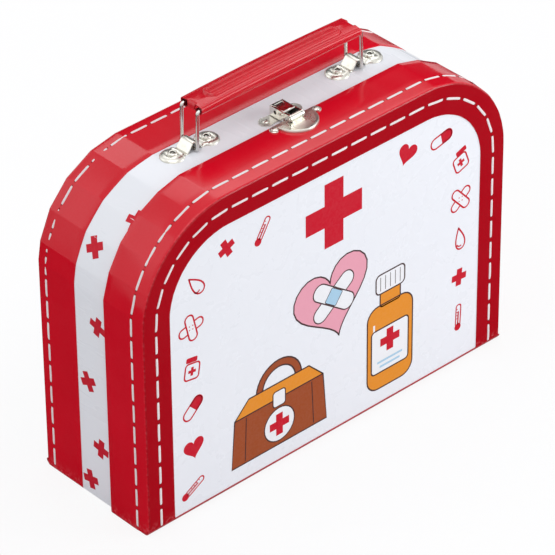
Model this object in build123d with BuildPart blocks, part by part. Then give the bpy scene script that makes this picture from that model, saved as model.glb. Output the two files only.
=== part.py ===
from build123d import *
import os

os.makedirs("parts", exist_ok=True)

# Toy doctor case: a small stitched board suitcase that stands on its hinge edge.
# X runs along the width, the lid faces -Y, Z is up.  The origin is on the floor,
# under the middle of the closed case.  All sizes are millimetres.

# ---- the closed case ----
case_width = 250.0       # over the lid's side walls
case_height = 182.0      # floor to the lid's top wall
case_depth = 82.5        # front face to back face
corner_radius = 57.5     # the lid's two upper corners, on the outside
edge_radius = 3.0        # round between a face and its wall
lid_depth = 28.5         # front face to the lid's rear edge
lip_depth = 10.0         # base wall that reaches inside the lid

# ---- sheet goods ----
board = 1.4              # hard board of walls and panels
binding = 0.5            # red fibre binding and hinge sheet
cover = 0.2              # white printed paper
lining = 0.2             # paper inside
lid_clearance = 0.6      # between the base's lip and the lid
hinge_gap = 0.4          # between the two bottom walls
fold_gap = 0.05          # between the two leaves of the hinge sheet

# ---- borders and stitching ----
face_border = 18.2       # red border on the front and back faces
back_band = 29.0         # red band on the base wall
turn_up = 2.7            # hinge sheet turned up on to each face
face_seam = 9.2          # seam line, in from the case's outline
lid_wall_seam = 8.0      # seam line, in from the front face
base_wall_seam = 7.3     # seam line, in from the back face
stitch_pitch = 13.2
stitch_gap = 2.7
thread_width = 1.3
thread_height = 0.4
seam_foot = 1.5          # lowest point of a seam

# ---- handle ----
handle_x = 3.8           # the handle sits a little right of the middle
bracket_from_round = 11.75  # a bracket's middle, in from where the round corner starts
bracket_from_band = 7.85  # the brackets' middle line, in front of the red band
rivet_spacing = 22.4     # two rivets of one bracket
lobe_radius = 6.8
lobe_height = 1.8
strap_width = 8.4        # the bracket's waist and arch
strap_thickness = 0.9
arch_half = 5.0          # foot of the arch, from its middle
arch_height = 5.3
arch_top_half = 1.9
wire_radius = 1.0
wire_rest = 0.2          # wire above the cover when the handle is down
wire_bend = 1.6
leg_lean = 0.6           # a leg's foot stands out further than its top
leg_spread = 5.8         # legs in front of and behind the middle line
grip_rise = 23.2         # wire in the grip above the base's top
grip_end_gap = 1.3       # a leg's top stands out from the grip's end
grip_sheet = 0.7
grip_wall = 3.5          # grip's upper edge above the wire
grip_arch = 0.6          # crown of the grip's top
curl_clearance = 0.5     # wire in the grip's curled edge
rib_inset = 9.2          # the rib's ends from the grip's ends
rib_width = 7.6
rib_height = 0.8

# ---- latch ----
latch_x = 0.3
latch_sheet = 0.8
plate_radius = 12.0      # half-round plate on the lid
plate_inset = 0.6        # plate's straight edge from the lid's rear edge
plate_rim = 0.7
ear_spacing = 28.2       # between the plate's two rivets
ear_radius = 2.7
pin_radius = 0.75
pin_fit = 0.05           # hasp on its pin, radial
pin_head = 1.15
pin_head_length = 0.5
pin_back = 3.5           # pin's line from the lid's rear edge
knuckle_radius = 1.8
knuckle_length = 6.6
boss_clearance = 0.1     # hasp's round ends above the plate
side_gap = 0.2           # hasp's cheeks beside the knuckle
hasp_sheet = 0.8
hasp_reach = 14.5        # pin's line to the hasp's rear end
hasp_rise = 4.2          # hasp's top above the lid
hasp_drop = 0.5          # hasp's cheeks above the keeper
hasp_step = 0.8          # cheeks behind the lid's rear edge
cheek_hole = 1.1
hole_back = 4.0          # cheek's hole from the hasp's rear end
keeper_spacing = 19.0    # between the keeper's two rivets
keeper_radius = 4.0
keeper_waist = 7.0
keeper_back = 2.0        # keeper's middle behind the middle of the hasp's cheeks
tongue_width = 3.4
tongue_length = 5.0
tongue_height = 4.0

# ---- rivets ----
rivet_radius = 1.5
rivet_bore = 0.9
rivet_fit = 0.05
rivet_head = 2.7
rivet_head_height = 0.8
latch_rivet_radius = 0.9
latch_rivet_head = 1.8
latch_rivet_head_height = 0.7
rivet_tail = 0.6         # clinched end inside the case
tail_gap = 0.35          # clinched end off the lining

# ---- worked out from the sizes above ----
front = -case_depth / 2
back = case_depth / 2
lid_rear = front + lid_depth                      # the hinge line's y
lid_wall = binding + board + lining
cover_inset = lid_wall + lid_clearance            # base's white paper, from the lid's outside
board_inset = cover_inset + cover
band_inset = board_inset - binding
lip_front = lid_rear - lip_depth
lip_foot = lid_wall + lid_clearance
base_top = case_height - cover_inset
band_front = back - back_band
bracket_spacing = case_width - 2 * (corner_radius + bracket_from_round)
handle_y = band_front - bracket_from_band
past = 1.0                                        # how far a cutter runs past what it cuts


def foot_plane(x, y, z):
    # an upright plane seen from the front; extruding it goes to -Y
    return Plane(origin=(x, y, z), x_dir=(1, 0, 0), z_dir=(0, -1, 0))


def upright(y):
    # the same plane on the case's middle line and the floor
    return foot_plane(0, y, 0)


def across(x, y, z):
    # an upright plane along the case's depth; extruding it goes to +X
    return Plane(origin=(x, y, z), x_dir=(0, 1, 0), z_dir=(1, 0, 0))


def outline(inset, foot):
    # the case's outline, brought in by inset, with its foot at a height of its own
    with BuildSketch(mode=Mode.PRIVATE) as shape:
        with Locations((0, (case_height - inset + foot) / 2)):
            Rectangle(case_width - 2 * inset, case_height - inset - foot)
        fillet(shape.vertices().group_by(Axis.Y)[-1], corner_radius - inset)
    return shape.sketch


def slab(inset, foot, rear, depth, round_front=0.0, round_rear=0.0):
    # the outline pushed forward from rear, with its front or rear edges rounded
    with BuildPart(mode=Mode.PRIVATE) as shape:
        with BuildSketch(upright(rear)):
            add(outline(inset, foot))
        extrude(amount=depth)
        if round_front > 0:
            fillet(shape.faces().sort_by(Axis.Y)[0].edges(), round_front)
        if round_rear > 0:
            fillet(shape.faces().sort_by(Axis.Y)[-1].edges(), round_rear)
    return shape.part


def block(width, y_low, y_high, z_low, z_high):
    # a plain cutter, centred on x = 0
    centre = (0, (y_low + y_high) / 2, (z_low + z_high) / 2)
    return Pos(*centre) * Box(width, y_high - y_low, z_high - z_low)


def save(part, name):
    part.label = name
    export_step(part, f"parts/{name}.step")


# the round inside a binding, never sharper than its sheet
inner_round = max(edge_radius - binding, 0.2)

# ---- lid shell ----
lid_outside = slab(0, 0, lid_rear, lid_depth, round_front=edge_radius)
lid_core = slab(binding, binding, lid_rear, lid_depth - binding, round_front=inner_round)
lid_core_cut = slab(binding, binding, lid_rear + past, lid_depth - binding + past, round_front=inner_round)
lid_bore = slab(binding + board, binding + board, lid_rear + past, lid_depth + 2 * past)
lid_hollow = slab(lid_wall, lid_wall, lid_rear + past, lid_depth - lid_wall + past)
lid_window = slab(face_border, turn_up, front + edge_radius, edge_radius + past)
lid_foot_zone = block(case_width - 2 * binding, front - past, lid_rear + past, -past, turn_up)

# seats of the latch plate's rivets in the lid's top wall
latch_plate_y = lid_rear - plate_inset
latch_rivet_y = latch_plate_y - ear_radius
lid_rivet_places = [(latch_x + side * ear_spacing / 2, latch_rivet_y) for side in (-1, 1)]
latch_hole = latch_rivet_radius + rivet_fit


def holes(places, radius, z_low, z_high):
    # upright cutters, one at each place
    with BuildPart(mode=Mode.PRIVATE) as shape:
        with BuildSketch(Plane.XY.offset(z_low)):
            with Locations(*places):
                Circle(radius)
        extrude(amount=z_high - z_low)
    return shape.part


lid_holes = holes(lid_rivet_places, latch_hole, case_height - lid_wall - past, case_height + past)


with BuildPart() as lid_binding:
    add(lid_outside)
    add(lid_core_cut, mode=Mode.SUBTRACT)
    add(lid_window, mode=Mode.SUBTRACT)
    add(lid_foot_zone, mode=Mode.SUBTRACT)
    add(lid_holes, mode=Mode.SUBTRACT)
save(lid_binding.part, "lid_binding")

with BuildPart() as lid_hinge_sheet:
    add(lid_outside)
    add(lid_core_cut, mode=Mode.SUBTRACT)
    add(lid_foot_zone, mode=Mode.INTERSECT)
save(lid_hinge_sheet.part, "lid_hinge_sheet")

with BuildPart() as lid_wall_board:
    add(lid_core)
    add(lid_bore, mode=Mode.SUBTRACT)
    add(lid_holes, mode=Mode.SUBTRACT)
save(lid_wall_board.part, "lid_wall_board")

with BuildPart() as lid_front_board:
    add(lid_core)
    add(slab(binding + board, binding + board, front + binding + board, board + past), mode=Mode.INTERSECT)
save(lid_front_board.part, "lid_front_board")

with BuildPart() as lid_front_sheet:
    with BuildSketch(upright(front + binding)):
        add(outline(face_border, turn_up))
    extrude(amount=cover)
save(lid_front_sheet.part, "lid_front_sheet")

with BuildPart() as lid_lining:
    add(slab(binding + board, binding + board, lid_rear, lid_depth - binding - board))
    add(lid_hollow, mode=Mode.SUBTRACT)
    add(lid_holes, mode=Mode.SUBTRACT)
save(lid_lining.part, "lid_lining")

# ---- base shell ----
base_depth = back - lip_front
base_outside = slab(band_inset, 0, back, back - lid_rear - fold_gap, round_rear=edge_radius)
base_core = slab(board_inset, binding, back - binding, base_depth - binding, round_rear=inner_round)
base_core_cut = slab(board_inset, binding, back - binding, base_depth + past, round_rear=inner_round)
base_inner_foot = binding + board
wall_inset = board_inset + board
base_bore = slab(wall_inset, base_inner_foot, back + past, base_depth + 2 * past)
base_hollow = slab(wall_inset + lining, base_inner_foot + lining, back - lid_wall, base_depth + past)
base_window = slab(face_border, turn_up, back + past, edge_radius + past)
base_foot_zone = block(case_width - 2 * board_inset, lid_rear - past, back + past, -past, turn_up)
lip_zone = block(case_width, lip_front - past, lid_rear + hinge_gap, -past, lip_foot)

# seats of the bracket and keeper rivets in the base's top wall
bracket_places = [(handle_x + side * bracket_spacing / 2, handle_y) for side in (-1, 1)]
bracket_rivet_places = [(x + side * rivet_spacing / 2, y) for x, y in bracket_places for side in (-1, 1)]
pin_y = lid_rear - pin_back
hasp_rear = pin_y + hasp_reach
keeper_y = (lid_rear + hasp_step + hasp_rear) / 2 + keeper_back
keeper_rivet_places = [(latch_x + side * keeper_spacing / 2, keeper_y) for side in (-1, 1)]
base_inner_top = case_height - wall_inset - lining
bracket_hole = rivet_radius + rivet_fit
bracket_holes = holes(bracket_rivet_places, bracket_hole, base_inner_top - past, base_top + past)
keeper_holes = holes(keeper_rivet_places, latch_hole, base_inner_top - past, base_top + past)

with BuildPart() as base_binding:
    add(slab(band_inset, 0, back, back_band, round_rear=edge_radius))
    add(base_core_cut, mode=Mode.SUBTRACT)
    add(base_window, mode=Mode.SUBTRACT)
    add(base_foot_zone, mode=Mode.SUBTRACT)
save(base_binding.part, "base_binding")

with BuildPart() as base_hinge_sheet:
    add(base_outside)
    add(base_core_cut, mode=Mode.SUBTRACT)
    add(base_foot_zone, mode=Mode.INTERSECT)
save(base_hinge_sheet.part, "base_hinge_sheet")

with BuildPart() as base_wall_board:
    add(base_core)
    add(base_bore, mode=Mode.SUBTRACT)
    add(lip_zone, mode=Mode.SUBTRACT)
    add(bracket_holes, mode=Mode.SUBTRACT)
    add(keeper_holes, mode=Mode.SUBTRACT)
save(base_wall_board.part, "base_wall_board")

with BuildPart() as base_back_board:
    add(base_core)
    add(slab(wall_inset, base_inner_foot, back, binding + board), mode=Mode.INTERSECT)
save(base_back_board.part, "base_back_board")

with BuildPart() as base_wall_cover:
    with BuildSketch(upright(band_front)):
        add(outline(cover_inset, 0))
        add(outline(board_inset, -past), mode=Mode.SUBTRACT)
    extrude(amount=band_front - lip_front)
    add(lip_zone, mode=Mode.SUBTRACT)
    add(bracket_holes, mode=Mode.SUBTRACT)
    add(keeper_holes, mode=Mode.SUBTRACT)
save(base_wall_cover.part, "base_wall_cover")

with BuildPart() as base_back_sheet:
    with BuildSketch(upright(back - binding + cover)):
        add(outline(face_border, turn_up))
    extrude(amount=cover)
save(base_back_sheet.part, "base_back_sheet")

with BuildPart() as base_lining:
    add(slab(wall_inset, base_inner_foot, back - binding - board, base_depth - binding - board))
    add(base_hollow, mode=Mode.SUBTRACT)
    add(lip_zone, mode=Mode.SUBTRACT)
    add(bracket_holes, mode=Mode.SUBTRACT)
    add(keeper_holes, mode=Mode.SUBTRACT)
save(base_lining.part, "base_lining")


# ---- stitching ----
def seam(inset, y):
    # up one side, over both round corners and down the other side
    side = case_width / 2 - inset
    top = case_height - inset
    with BuildLine(mode=Mode.PRIVATE) as line:
        FilletPolyline(
            (-side, y, seam_foot), (-side, y, top), (side, y, top), (side, y, seam_foot),
            radius=corner_radius - inset,
        )
    return line.wire()


def stitch_places(line, normal_of):
    # one plane per stitch, lying on the surface that normal_of describes
    count = round(line.length / stitch_pitch)
    for number in range(count):
        share = (number + 0.5) / count
        along = line % share
        yield Plane(origin=line @ share, x_dir=along, z_dir=normal_of(along))


def off_wall(along):
    # straight out of the wall where the seam runs in the direction along
    return Vector(-along.Z, 0, along.X)


seams = {
    "lid_face_stitching": (seam(face_seam, front), lambda along: Vector(0, -1, 0)),
    "lid_wall_stitching": (seam(0, front + lid_wall_seam), off_wall),
    "base_face_stitching": (seam(face_seam, back), lambda along: Vector(0, 1, 0)),
    "base_wall_stitching": (seam(band_inset, back - base_wall_seam), off_wall),
}
for seam_name, (line, normal_of) in seams.items():
    with BuildPart() as stitches:
        for place in stitch_places(line, normal_of):
            with BuildSketch(place):
                SlotOverall(stitch_pitch - stitch_gap, thread_width)
        extrude(amount=thread_height)
    save(stitches.part, seam_name)

# ---- handle brackets ----
def arch(half, top_half, height, corner):
    # a strap's flat-topped arch, standing on its foot
    with BuildSketch(mode=Mode.PRIVATE) as shape:
        with BuildLine():
            Polyline((-half, 0), (-top_half, height), (top_half, height), (half, 0), close=True)
        make_face()
        fillet(shape.vertices().group_by(Axis.Y)[-1], corner)
    return shape.sketch


arch_outer = arch(arch_half, arch_top_half, arch_height, 1.0 + strap_thickness)
arch_inner = arch(arch_half - 1.1 * strap_thickness, arch_top_half - 0.5 * strap_thickness,
                  arch_height - strap_thickness, 1.0)

for side_name, (bracket_x, bracket_y) in zip(("left", "right"), bracket_places):
    lobe_places = [(bracket_x + side * rivet_spacing / 2, bracket_y) for side in (-1, 1)]
    with BuildPart() as bracket:
        with BuildSketch(Plane.XY.offset(base_top)):
            with Locations(*lobe_places):
                Circle(lobe_radius)
        extrude(amount=lobe_height)
        fillet(bracket.edges().group_by(Axis.Z)[-1], 0.75 * lobe_height)
        # the strap between the lobes rises over the wire
        with BuildSketch(foot_plane(bracket_x, bracket_y + strap_width / 2, base_top)):
            with Locations((0, strap_thickness / 2)):
                Rectangle(rivet_spacing, strap_thickness)
            add(arch_outer)
            add(arch_inner, mode=Mode.SUBTRACT)
        extrude(amount=strap_width)
        add(holes(lobe_places, bracket_hole, base_top - past, base_top + lobe_height + past),
            mode=Mode.SUBTRACT)
    save(bracket.part, f"bracket_{side_name}")


def rivets(places, radius, seat, head_radius, head_height, inside, bore=0.0):
    # shanks through a wall, with a head on the seat and a clinched tail inside
    foot = (Align.CENTER, Align.CENTER, Align.MIN)
    with BuildPart(mode=Mode.PRIVATE) as shape:
        with Locations(*[(x, y, inside - rivet_tail) for x, y in places]):
            Cylinder(radius, seat + head_height - inside + rivet_tail, align=foot)
            Cylinder(0.85 * head_radius, rivet_tail - tail_gap, align=foot)
        with Locations(*[(x, y, seat) for x, y in places]):
            Cylinder(head_radius, head_height, align=foot)
        fillet(shape.edges().group_by(Axis.Z)[-1], 0.6 * head_height)
        if bore > 0:
            with Locations(*[(x, y, inside - 2 * rivet_tail) for x, y in places]):
                Cylinder(bore, seat + head_height - inside + 3 * rivet_tail, align=foot,
                         mode=Mode.SUBTRACT)
    return shape.part


save(rivets(bracket_rivet_places, rivet_radius, base_top + lobe_height, rivet_head, rivet_head_height,
            base_inner_top, rivet_bore), "bracket_rivets")

# ---- handle ----
wire_foot = base_top + wire_rest + wire_radius
wire_top = base_top + grip_rise
leg_foot = bracket_spacing / 2
leg_top = leg_foot - leg_lean
grip_length = 2 * (leg_top - grip_end_gap)
curl_inner = wire_radius + curl_clearance
curl_outer = curl_inner + grip_sheet
grip_half = leg_spread + curl_outer

with BuildPart() as handle_wire:
    with BuildLine() as bail:
        FilletPolyline(
            (handle_x, handle_y - leg_spread, wire_top),
            (handle_x + leg_top, handle_y - leg_spread, wire_top),
            (handle_x + leg_foot, handle_y - leg_spread, wire_foot),
            (handle_x + leg_foot, handle_y + leg_spread, wire_foot),
            (handle_x + leg_top, handle_y + leg_spread, wire_top),
            (handle_x, handle_y + leg_spread, wire_top),
            radius=wire_bend,
        )
    with BuildSketch(Plane(origin=bail.line @ 0, z_dir=bail.line % 0)):
        Circle(wire_radius)
    sweep()
    mirror(about=Plane.YZ.offset(handle_x))
save(handle_wire.part, "handle_wire")


def grip_shape(half, height, round_corner):
    # the grip's cross-section from the wire's height up to its arched top
    with BuildSketch(mode=Mode.PRIVATE) as shape:
        with BuildLine():
            Polyline((-half, height), (-half, 0), (half, 0), (half, height))
            ThreePointArc((half, height), (0, height + grip_arch), (-half, height))
        make_face()
        fillet(shape.vertices().group_by(Axis.Y)[-1], round_corner)
    return shape.sketch


with BuildPart() as handle_grip:
    with BuildSketch(across(handle_x - grip_length / 2, handle_y, wire_top)):
        with Locations((-leg_spread, 0), (leg_spread, 0)):
            Circle(curl_outer)
            Circle(curl_inner, mode=Mode.SUBTRACT)
        # each curl ends just above the wire, on its inner side
        with Locations((0, 0.8 * curl_inner + grip_wall / 2)):
            Rectangle(2 * grip_half, grip_wall, mode=Mode.SUBTRACT)
        with Locations(*[(side * (leg_spread + curl_outer / 2), grip_wall / 2) for side in (-1, 1)]):
            Rectangle(curl_outer, grip_wall, mode=Mode.SUBTRACT)
        add(grip_shape(grip_half, grip_wall, 1.0 + grip_sheet) - grip_shape(
            grip_half - grip_sheet, grip_wall - grip_sheet, 1.0))
    extrude(amount=grip_length)
    # raised oval along the top
    with BuildSketch(Plane((handle_x, handle_y, wire_top + grip_wall + grip_arch - 0.8 * grip_sheet))):
        SlotOverall(grip_length - 2 * rib_inset, rib_width)
    extrude(amount=0.8 * grip_sheet + rib_height)
    fillet(handle_grip.edges().group_by(Axis.Z)[-1], 0.6 * rib_height)
save(handle_grip.part, "handle_grip")

# ---- latch on the lid ----
pin_z = case_height + latch_sheet + knuckle_radius + boss_clearance
knuckle_low = latch_x - knuckle_length / 2
cheek_inner = knuckle_length / 2 + side_gap
cheek_outer = cheek_inner + hasp_sheet
pin_half = cheek_outer + side_gap
plate_top = case_height + latch_sheet


with BuildPart() as latch_plate:
    with BuildSketch(Plane.XY.offset(case_height)):
        with Locations((latch_x, latch_plate_y - ear_radius)):
            Circle(plate_radius)
            with Locations((0, plate_radius)):
                Rectangle(2 * plate_radius, 2 * plate_radius, mode=Mode.SUBTRACT)
        with Locations((latch_x, latch_plate_y - ear_radius)):
            Rectangle(ear_spacing, 2 * ear_radius)
        with Locations(*lid_rivet_places):
            Circle(ear_radius)
    extrude(amount=latch_sheet)
    # raised rim round the half disc
    with BuildSketch(Plane.XY.offset(plate_top)):
        with Locations((latch_x, latch_plate_y - ear_radius)):
            Circle(plate_radius)
            Circle(plate_radius - 1.4 * plate_rim, mode=Mode.SUBTRACT)
            with Locations((0, plate_radius)):
                Rectangle(2 * plate_radius, 2 * plate_radius, mode=Mode.SUBTRACT)
    extrude(amount=plate_rim)
    # knuckle on its web
    with BuildSketch(across(knuckle_low, pin_y, pin_z)):
        Circle(knuckle_radius)
        with Locations((0, (plate_top - pin_z) / 2)):
            Rectangle(1.6 * knuckle_radius, pin_z - plate_top)
        Circle(pin_radius, mode=Mode.SUBTRACT)
    extrude(amount=knuckle_length)
    add(holes(lid_rivet_places, latch_hole, case_height - past, plate_top + past), mode=Mode.SUBTRACT)
save(latch_plate.part, "latch_plate")

with BuildPart() as latch_pin:
    with BuildSketch(across(latch_x - pin_half, pin_y, pin_z)):
        Circle(pin_radius)
    extrude(amount=2 * pin_half)
    with BuildSketch(across(latch_x - pin_half - pin_head_length, pin_y, pin_z),
                     across(latch_x + pin_half, pin_y, pin_z)):
        Circle(pin_head)
    extrude(amount=pin_head_length)
save(latch_pin.part, "latch_pin")

save(rivets(lid_rivet_places, latch_rivet_radius, plate_top, latch_rivet_head, latch_rivet_head_height,
            case_height - lid_wall), "latch_rivets")

# ---- hasp: an upturned channel that swings on the pin ----
hasp_top = case_height + hasp_rise
keeper_top = base_top + latch_sheet
cheek_foot = keeper_top + hasp_drop
cheek_front = lid_rear + hasp_step
hasp_front = cheek_front + hasp_sheet
hole_y = hasp_rear - hole_back
hole_z = (hasp_top + cheek_foot) / 2

with BuildPart() as latch_hasp:
    with BuildSketch(across(latch_x - cheek_outer, 0, 0)):
        with BuildLine():
            Polyline((cheek_front, cheek_foot), (hasp_rear, cheek_foot), (hasp_rear, hasp_top),
                     (hasp_front, hasp_top), (pin_y, pin_z + knuckle_radius),
                     (pin_y, pin_z - knuckle_radius), (cheek_front, pin_z - knuckle_radius), close=True)
        make_face()
        with Locations((pin_y, pin_z)):
            Circle(knuckle_radius)
            Circle(pin_radius + pin_fit, mode=Mode.SUBTRACT)
        with Locations((hole_y, hole_z)):
            Circle(cheek_hole, mode=Mode.SUBTRACT)
    extrude(amount=2 * cheek_outer)
    # hollow between the cheeks, open below, in front and behind
    with BuildSketch(across(latch_x - cheek_inner, 0, 0)):
        with BuildLine():
            Polyline((hasp_rear + past, cheek_foot - past), (hasp_rear + past, hasp_top - hasp_sheet),
                     (hasp_front, hasp_top - hasp_sheet), (hasp_front, hasp_top + past),
                     (pin_y - 2 * knuckle_radius, hasp_top + past),
                     (pin_y - 2 * knuckle_radius, cheek_foot - past), close=True)
        make_face()
    extrude(amount=2 * cheek_inner, mode=Mode.SUBTRACT)
save(latch_hasp.part, "latch_hasp")

# ---- keeper on the base ----
with BuildPart() as latch_keeper:
    with BuildSketch(Plane.XY.offset(base_top)):
        with Locations(*keeper_rivet_places):
            Circle(keeper_radius)
        with Locations((latch_x, keeper_y)):
            Rectangle(keeper_spacing, keeper_waist)
    extrude(amount=latch_sheet)
    with BuildSketch(Plane.XY.offset(keeper_top)):
        with Locations((latch_x, hole_y)):
            Rectangle(tongue_width, tongue_length)
    extrude(amount=tongue_height)
    fillet(latch_keeper.edges().group_by(Axis.Z)[-1], 0.6)
    with BuildSketch(across(latch_x - tongue_width, hole_y, hole_z)):
        Circle(cheek_hole)
    extrude(amount=2 * tongue_width, mode=Mode.SUBTRACT)
    add(holes(keeper_rivet_places, latch_hole, base_top - past, keeper_top + past), mode=Mode.SUBTRACT)
save(latch_keeper.part, "latch_keeper")

save(rivets(keeper_rivet_places, latch_rivet_radius, keeper_top, latch_rivet_head, latch_rivet_head_height,
            base_inner_top), "keeper_rivets")
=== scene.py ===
import math
import random

import bmesh
import bpy
from mathutils import Matrix, Vector


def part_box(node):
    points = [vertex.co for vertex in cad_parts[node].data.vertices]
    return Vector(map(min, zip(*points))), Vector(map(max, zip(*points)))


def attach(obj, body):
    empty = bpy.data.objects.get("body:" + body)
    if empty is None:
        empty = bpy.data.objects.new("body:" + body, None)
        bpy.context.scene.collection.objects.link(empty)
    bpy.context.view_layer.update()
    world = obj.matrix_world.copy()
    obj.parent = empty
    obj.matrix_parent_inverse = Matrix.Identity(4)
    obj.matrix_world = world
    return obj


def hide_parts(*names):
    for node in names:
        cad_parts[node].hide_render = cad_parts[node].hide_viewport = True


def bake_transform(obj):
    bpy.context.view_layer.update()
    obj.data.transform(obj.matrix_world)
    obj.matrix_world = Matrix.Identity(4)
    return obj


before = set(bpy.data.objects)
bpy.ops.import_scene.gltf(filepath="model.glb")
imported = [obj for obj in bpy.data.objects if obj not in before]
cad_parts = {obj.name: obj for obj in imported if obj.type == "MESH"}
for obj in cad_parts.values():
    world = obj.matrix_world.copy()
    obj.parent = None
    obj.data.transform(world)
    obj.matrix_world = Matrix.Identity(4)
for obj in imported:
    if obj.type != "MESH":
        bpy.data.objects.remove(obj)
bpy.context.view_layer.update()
mm = 0.001  # the scene is in metres, the case's sizes below are in millimetres


def cadBox(node):
    low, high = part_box(node)
    return low / mm, high / mm


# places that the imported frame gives
lidLow, lidHigh = cadBox("lid_binding")
bandLow, bandHigh = cadBox("base_binding")
coverLow, coverHigh = cadBox("base_wall_cover")
sheetLow, sheetHigh = cadBox("lid_front_sheet")

case = {
    "halfWide": lidHigh.x,
    "tall": lidHigh.z,
    "front": lidLow.y,
    "lidRear": lidHigh.y,
    "back": bandHigh.y,
    "bandFront": bandLow.y,
    "lipFront": coverLow.y,
    "cornerRadius": 57.5,
    "edgeRadius": 3.0,
    "baseInset": lidHigh.x - bandHigh.x,       # the base's red band, in from the lid
    "coverInset": lidHigh.x - coverHigh.x,     # its white paper
    "paper": 0.5,                              # red covering paper
    "board": 1.4,
    "lining": 0.2,
    "border": lidHigh.x - sheetHigh.x,         # red border round a face
    "turnUp": sheetLow.z,                      # hinge cloth turned up on a face
    "clothThick": 0.5,
    "clothGap": 0.08,                          # between the cloth and a foot above it
    "footRise": 1.2,                           # a wall's foot follows the cloth this near a face
    "faceSeam": 9.2,                           # seam line on a face, in from the outline
    "glueGap": 0.02,                           # between two sheets that are pasted together
}


def addToScene(name, data):
    obj = bpy.data.objects.new(name, data)
    bpy.context.scene.collection.objects.link(obj)
    return obj


def makeObject(name, bm, materials, sharpAngle=32, smooth=True):
    # a finished bmesh becomes an object of the scene
    bmesh.ops.recalc_face_normals(bm, faces=bm.faces[:])
    mesh = bpy.data.meshes.new(name)
    bm.to_mesh(mesh)
    bm.free()
    for material in materials:
        mesh.materials.append(material)
    if smooth:
        mesh.shade_smooth()
        mesh.set_sharp_from_angle(angle=math.radians(sharpAngle))
    return addToScene(name, mesh)


def addVert(bm, x, y, z):
    return bm.verts.new((x * mm, y * mm, z * mm))


def bridge(bm, first, second):
    # a band of quads between two closed rings of vertices
    made = []
    for n in range(len(first)):
        m = (n + 1) % len(first)
        made.append(bm.faces.new((first[n], first[m], second[m], second[n])))
    return made


def capEnds(bm, rings):
    bm.faces.new(rings[0])
    bm.faces.new(list(reversed(rings[-1])))


def gridFaces(bm, grid):
    # quads over rows of vertices
    made = []
    for row, after in zip(grid, grid[1:]):
        for n in range(len(row) - 1):
            made.append(bm.faces.new((row[n], after[n], after[n + 1], row[n + 1])))
    return made


def gridRim(grid):
    # the vertices round the edge of a grid
    right, left = [row[-1] for row in grid[1:-1]], [row[0] for row in grid[1:-1]]
    return grid[0] + right + grid[-1][::-1] + left[::-1]


def circlePoints(radius, count):
    turns = [2 * math.pi * n / count for n in range(count)]
    return [(radius * math.cos(turn), radius * math.sin(turn)) for turn in turns]


def smoothStep(share):
    share = min(max(share, 0), 1)
    return share * share * (3 - 2 * share)


# materials

def feed(tree, node, values):
    # an input gets a link from a socket, or a value of its own
    for name, value in values.items():
        if isinstance(value, bpy.types.NodeSocket):
            tree.links.new(value, node.inputs[name])
        else:
            node.inputs[name].default_value = value


def newMaterial(name):
    material = bpy.data.materials.new(name)
    material.use_nodes = True
    tree = material.node_tree
    tree.nodes.clear()
    output = tree.nodes.new("ShaderNodeOutputMaterial")
    shader = tree.nodes.new("ShaderNodeBsdfPrincipled")
    feed(tree, output, {"Surface": shader.outputs["BSDF"]})
    return material, tree, shader


def objectCoords(tree, stretch=(1, 1, 1), turn=(0, 0, 0)):
    coords = tree.nodes.new("ShaderNodeTexCoord")
    mapping = tree.nodes.new("ShaderNodeMapping")
    feed(tree, mapping, {"Vector": coords.outputs["Object"], "Scale": stretch, "Rotation": turn})
    return mapping.outputs["Vector"]


def noiseNode(tree, vector, scale, detail=4.0, roughness=0.5, distortion=0.0):
    node = tree.nodes.new("ShaderNodeTexNoise")
    feed(tree, node, {"Vector": vector, "Scale": scale, "Detail": detail,
                      "Roughness": roughness, "Distortion": distortion})
    return node.outputs["Fac"]


def ramp(tree, fac, stops):
    # stops are two (place, colour) pairs
    node = tree.nodes.new("ShaderNodeValToRGB")
    for element, (place, colour) in zip(node.color_ramp.elements, stops):
        element.position = place
        element.color = (*colour, 1)
    feed(tree, node, {"Fac": fac})
    return node.outputs["Color"]


def mixColour(tree, fac, first, second):
    # first is a socket and second a colour; a colour mix has them as inputs 6 and 7
    node = tree.nodes.new("ShaderNodeMix")
    node.data_type = "RGBA"
    feed(tree, node, {0: fac, 6: first, 7: (*second, 1)})
    return node.outputs[2]


def mathNode(tree, operation, first, second=0.0, clamp=False):
    node = tree.nodes.new("ShaderNodeMath")
    node.operation = operation
    node.use_clamp = clamp
    feed(tree, node, {0: first, 1: second})
    return node.outputs[0]


def mapRange(tree, value, low, high, newLow, newHigh, smooth=False):
    node = tree.nodes.new("ShaderNodeMapRange")
    if smooth:
        node.interpolation_type = "SMOOTHSTEP"
    feed(tree, node, {"Value": value, "From Min": low, "From Max": high, "To Min": newLow, "To Max": newHigh})
    return node.outputs["Result"]


def addBump(tree, shader, height, distance, after=None):
    node = tree.nodes.new("ShaderNodeBump")
    feed(tree, node, {"Strength": 1.0, "Distance": distance * mm, "Height": height})
    if after is not None:
        feed(tree, node, {"Normal": after})
    feed(tree, shader, {"Normal": node.outputs["Normal"]})
    return node.outputs["Normal"]


def attributeSocket(tree, name):
    node = tree.nodes.new("ShaderNodeAttribute")
    node.attribute_name = name
    return node.outputs["Fac"]


def driftTone(tree, vector, scale, detail, first, second):
    # a colour that drifts between two
    return ramp(tree, noiseNode(tree, vector, scale, detail), [(0.3, first), (0.7, second)])


def rubbedPatches(tree, vector, scale, low, high):
    # worn spots, wherever the wear written on the mesh says that hands or edges rub it
    patches = mapRange(tree, noiseNode(tree, vector, scale, 5, 0.7), low, high, 0, 1)
    return mathNode(tree, "MULTIPLY", attributeSocket(tree, "wear"), patches)


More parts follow.
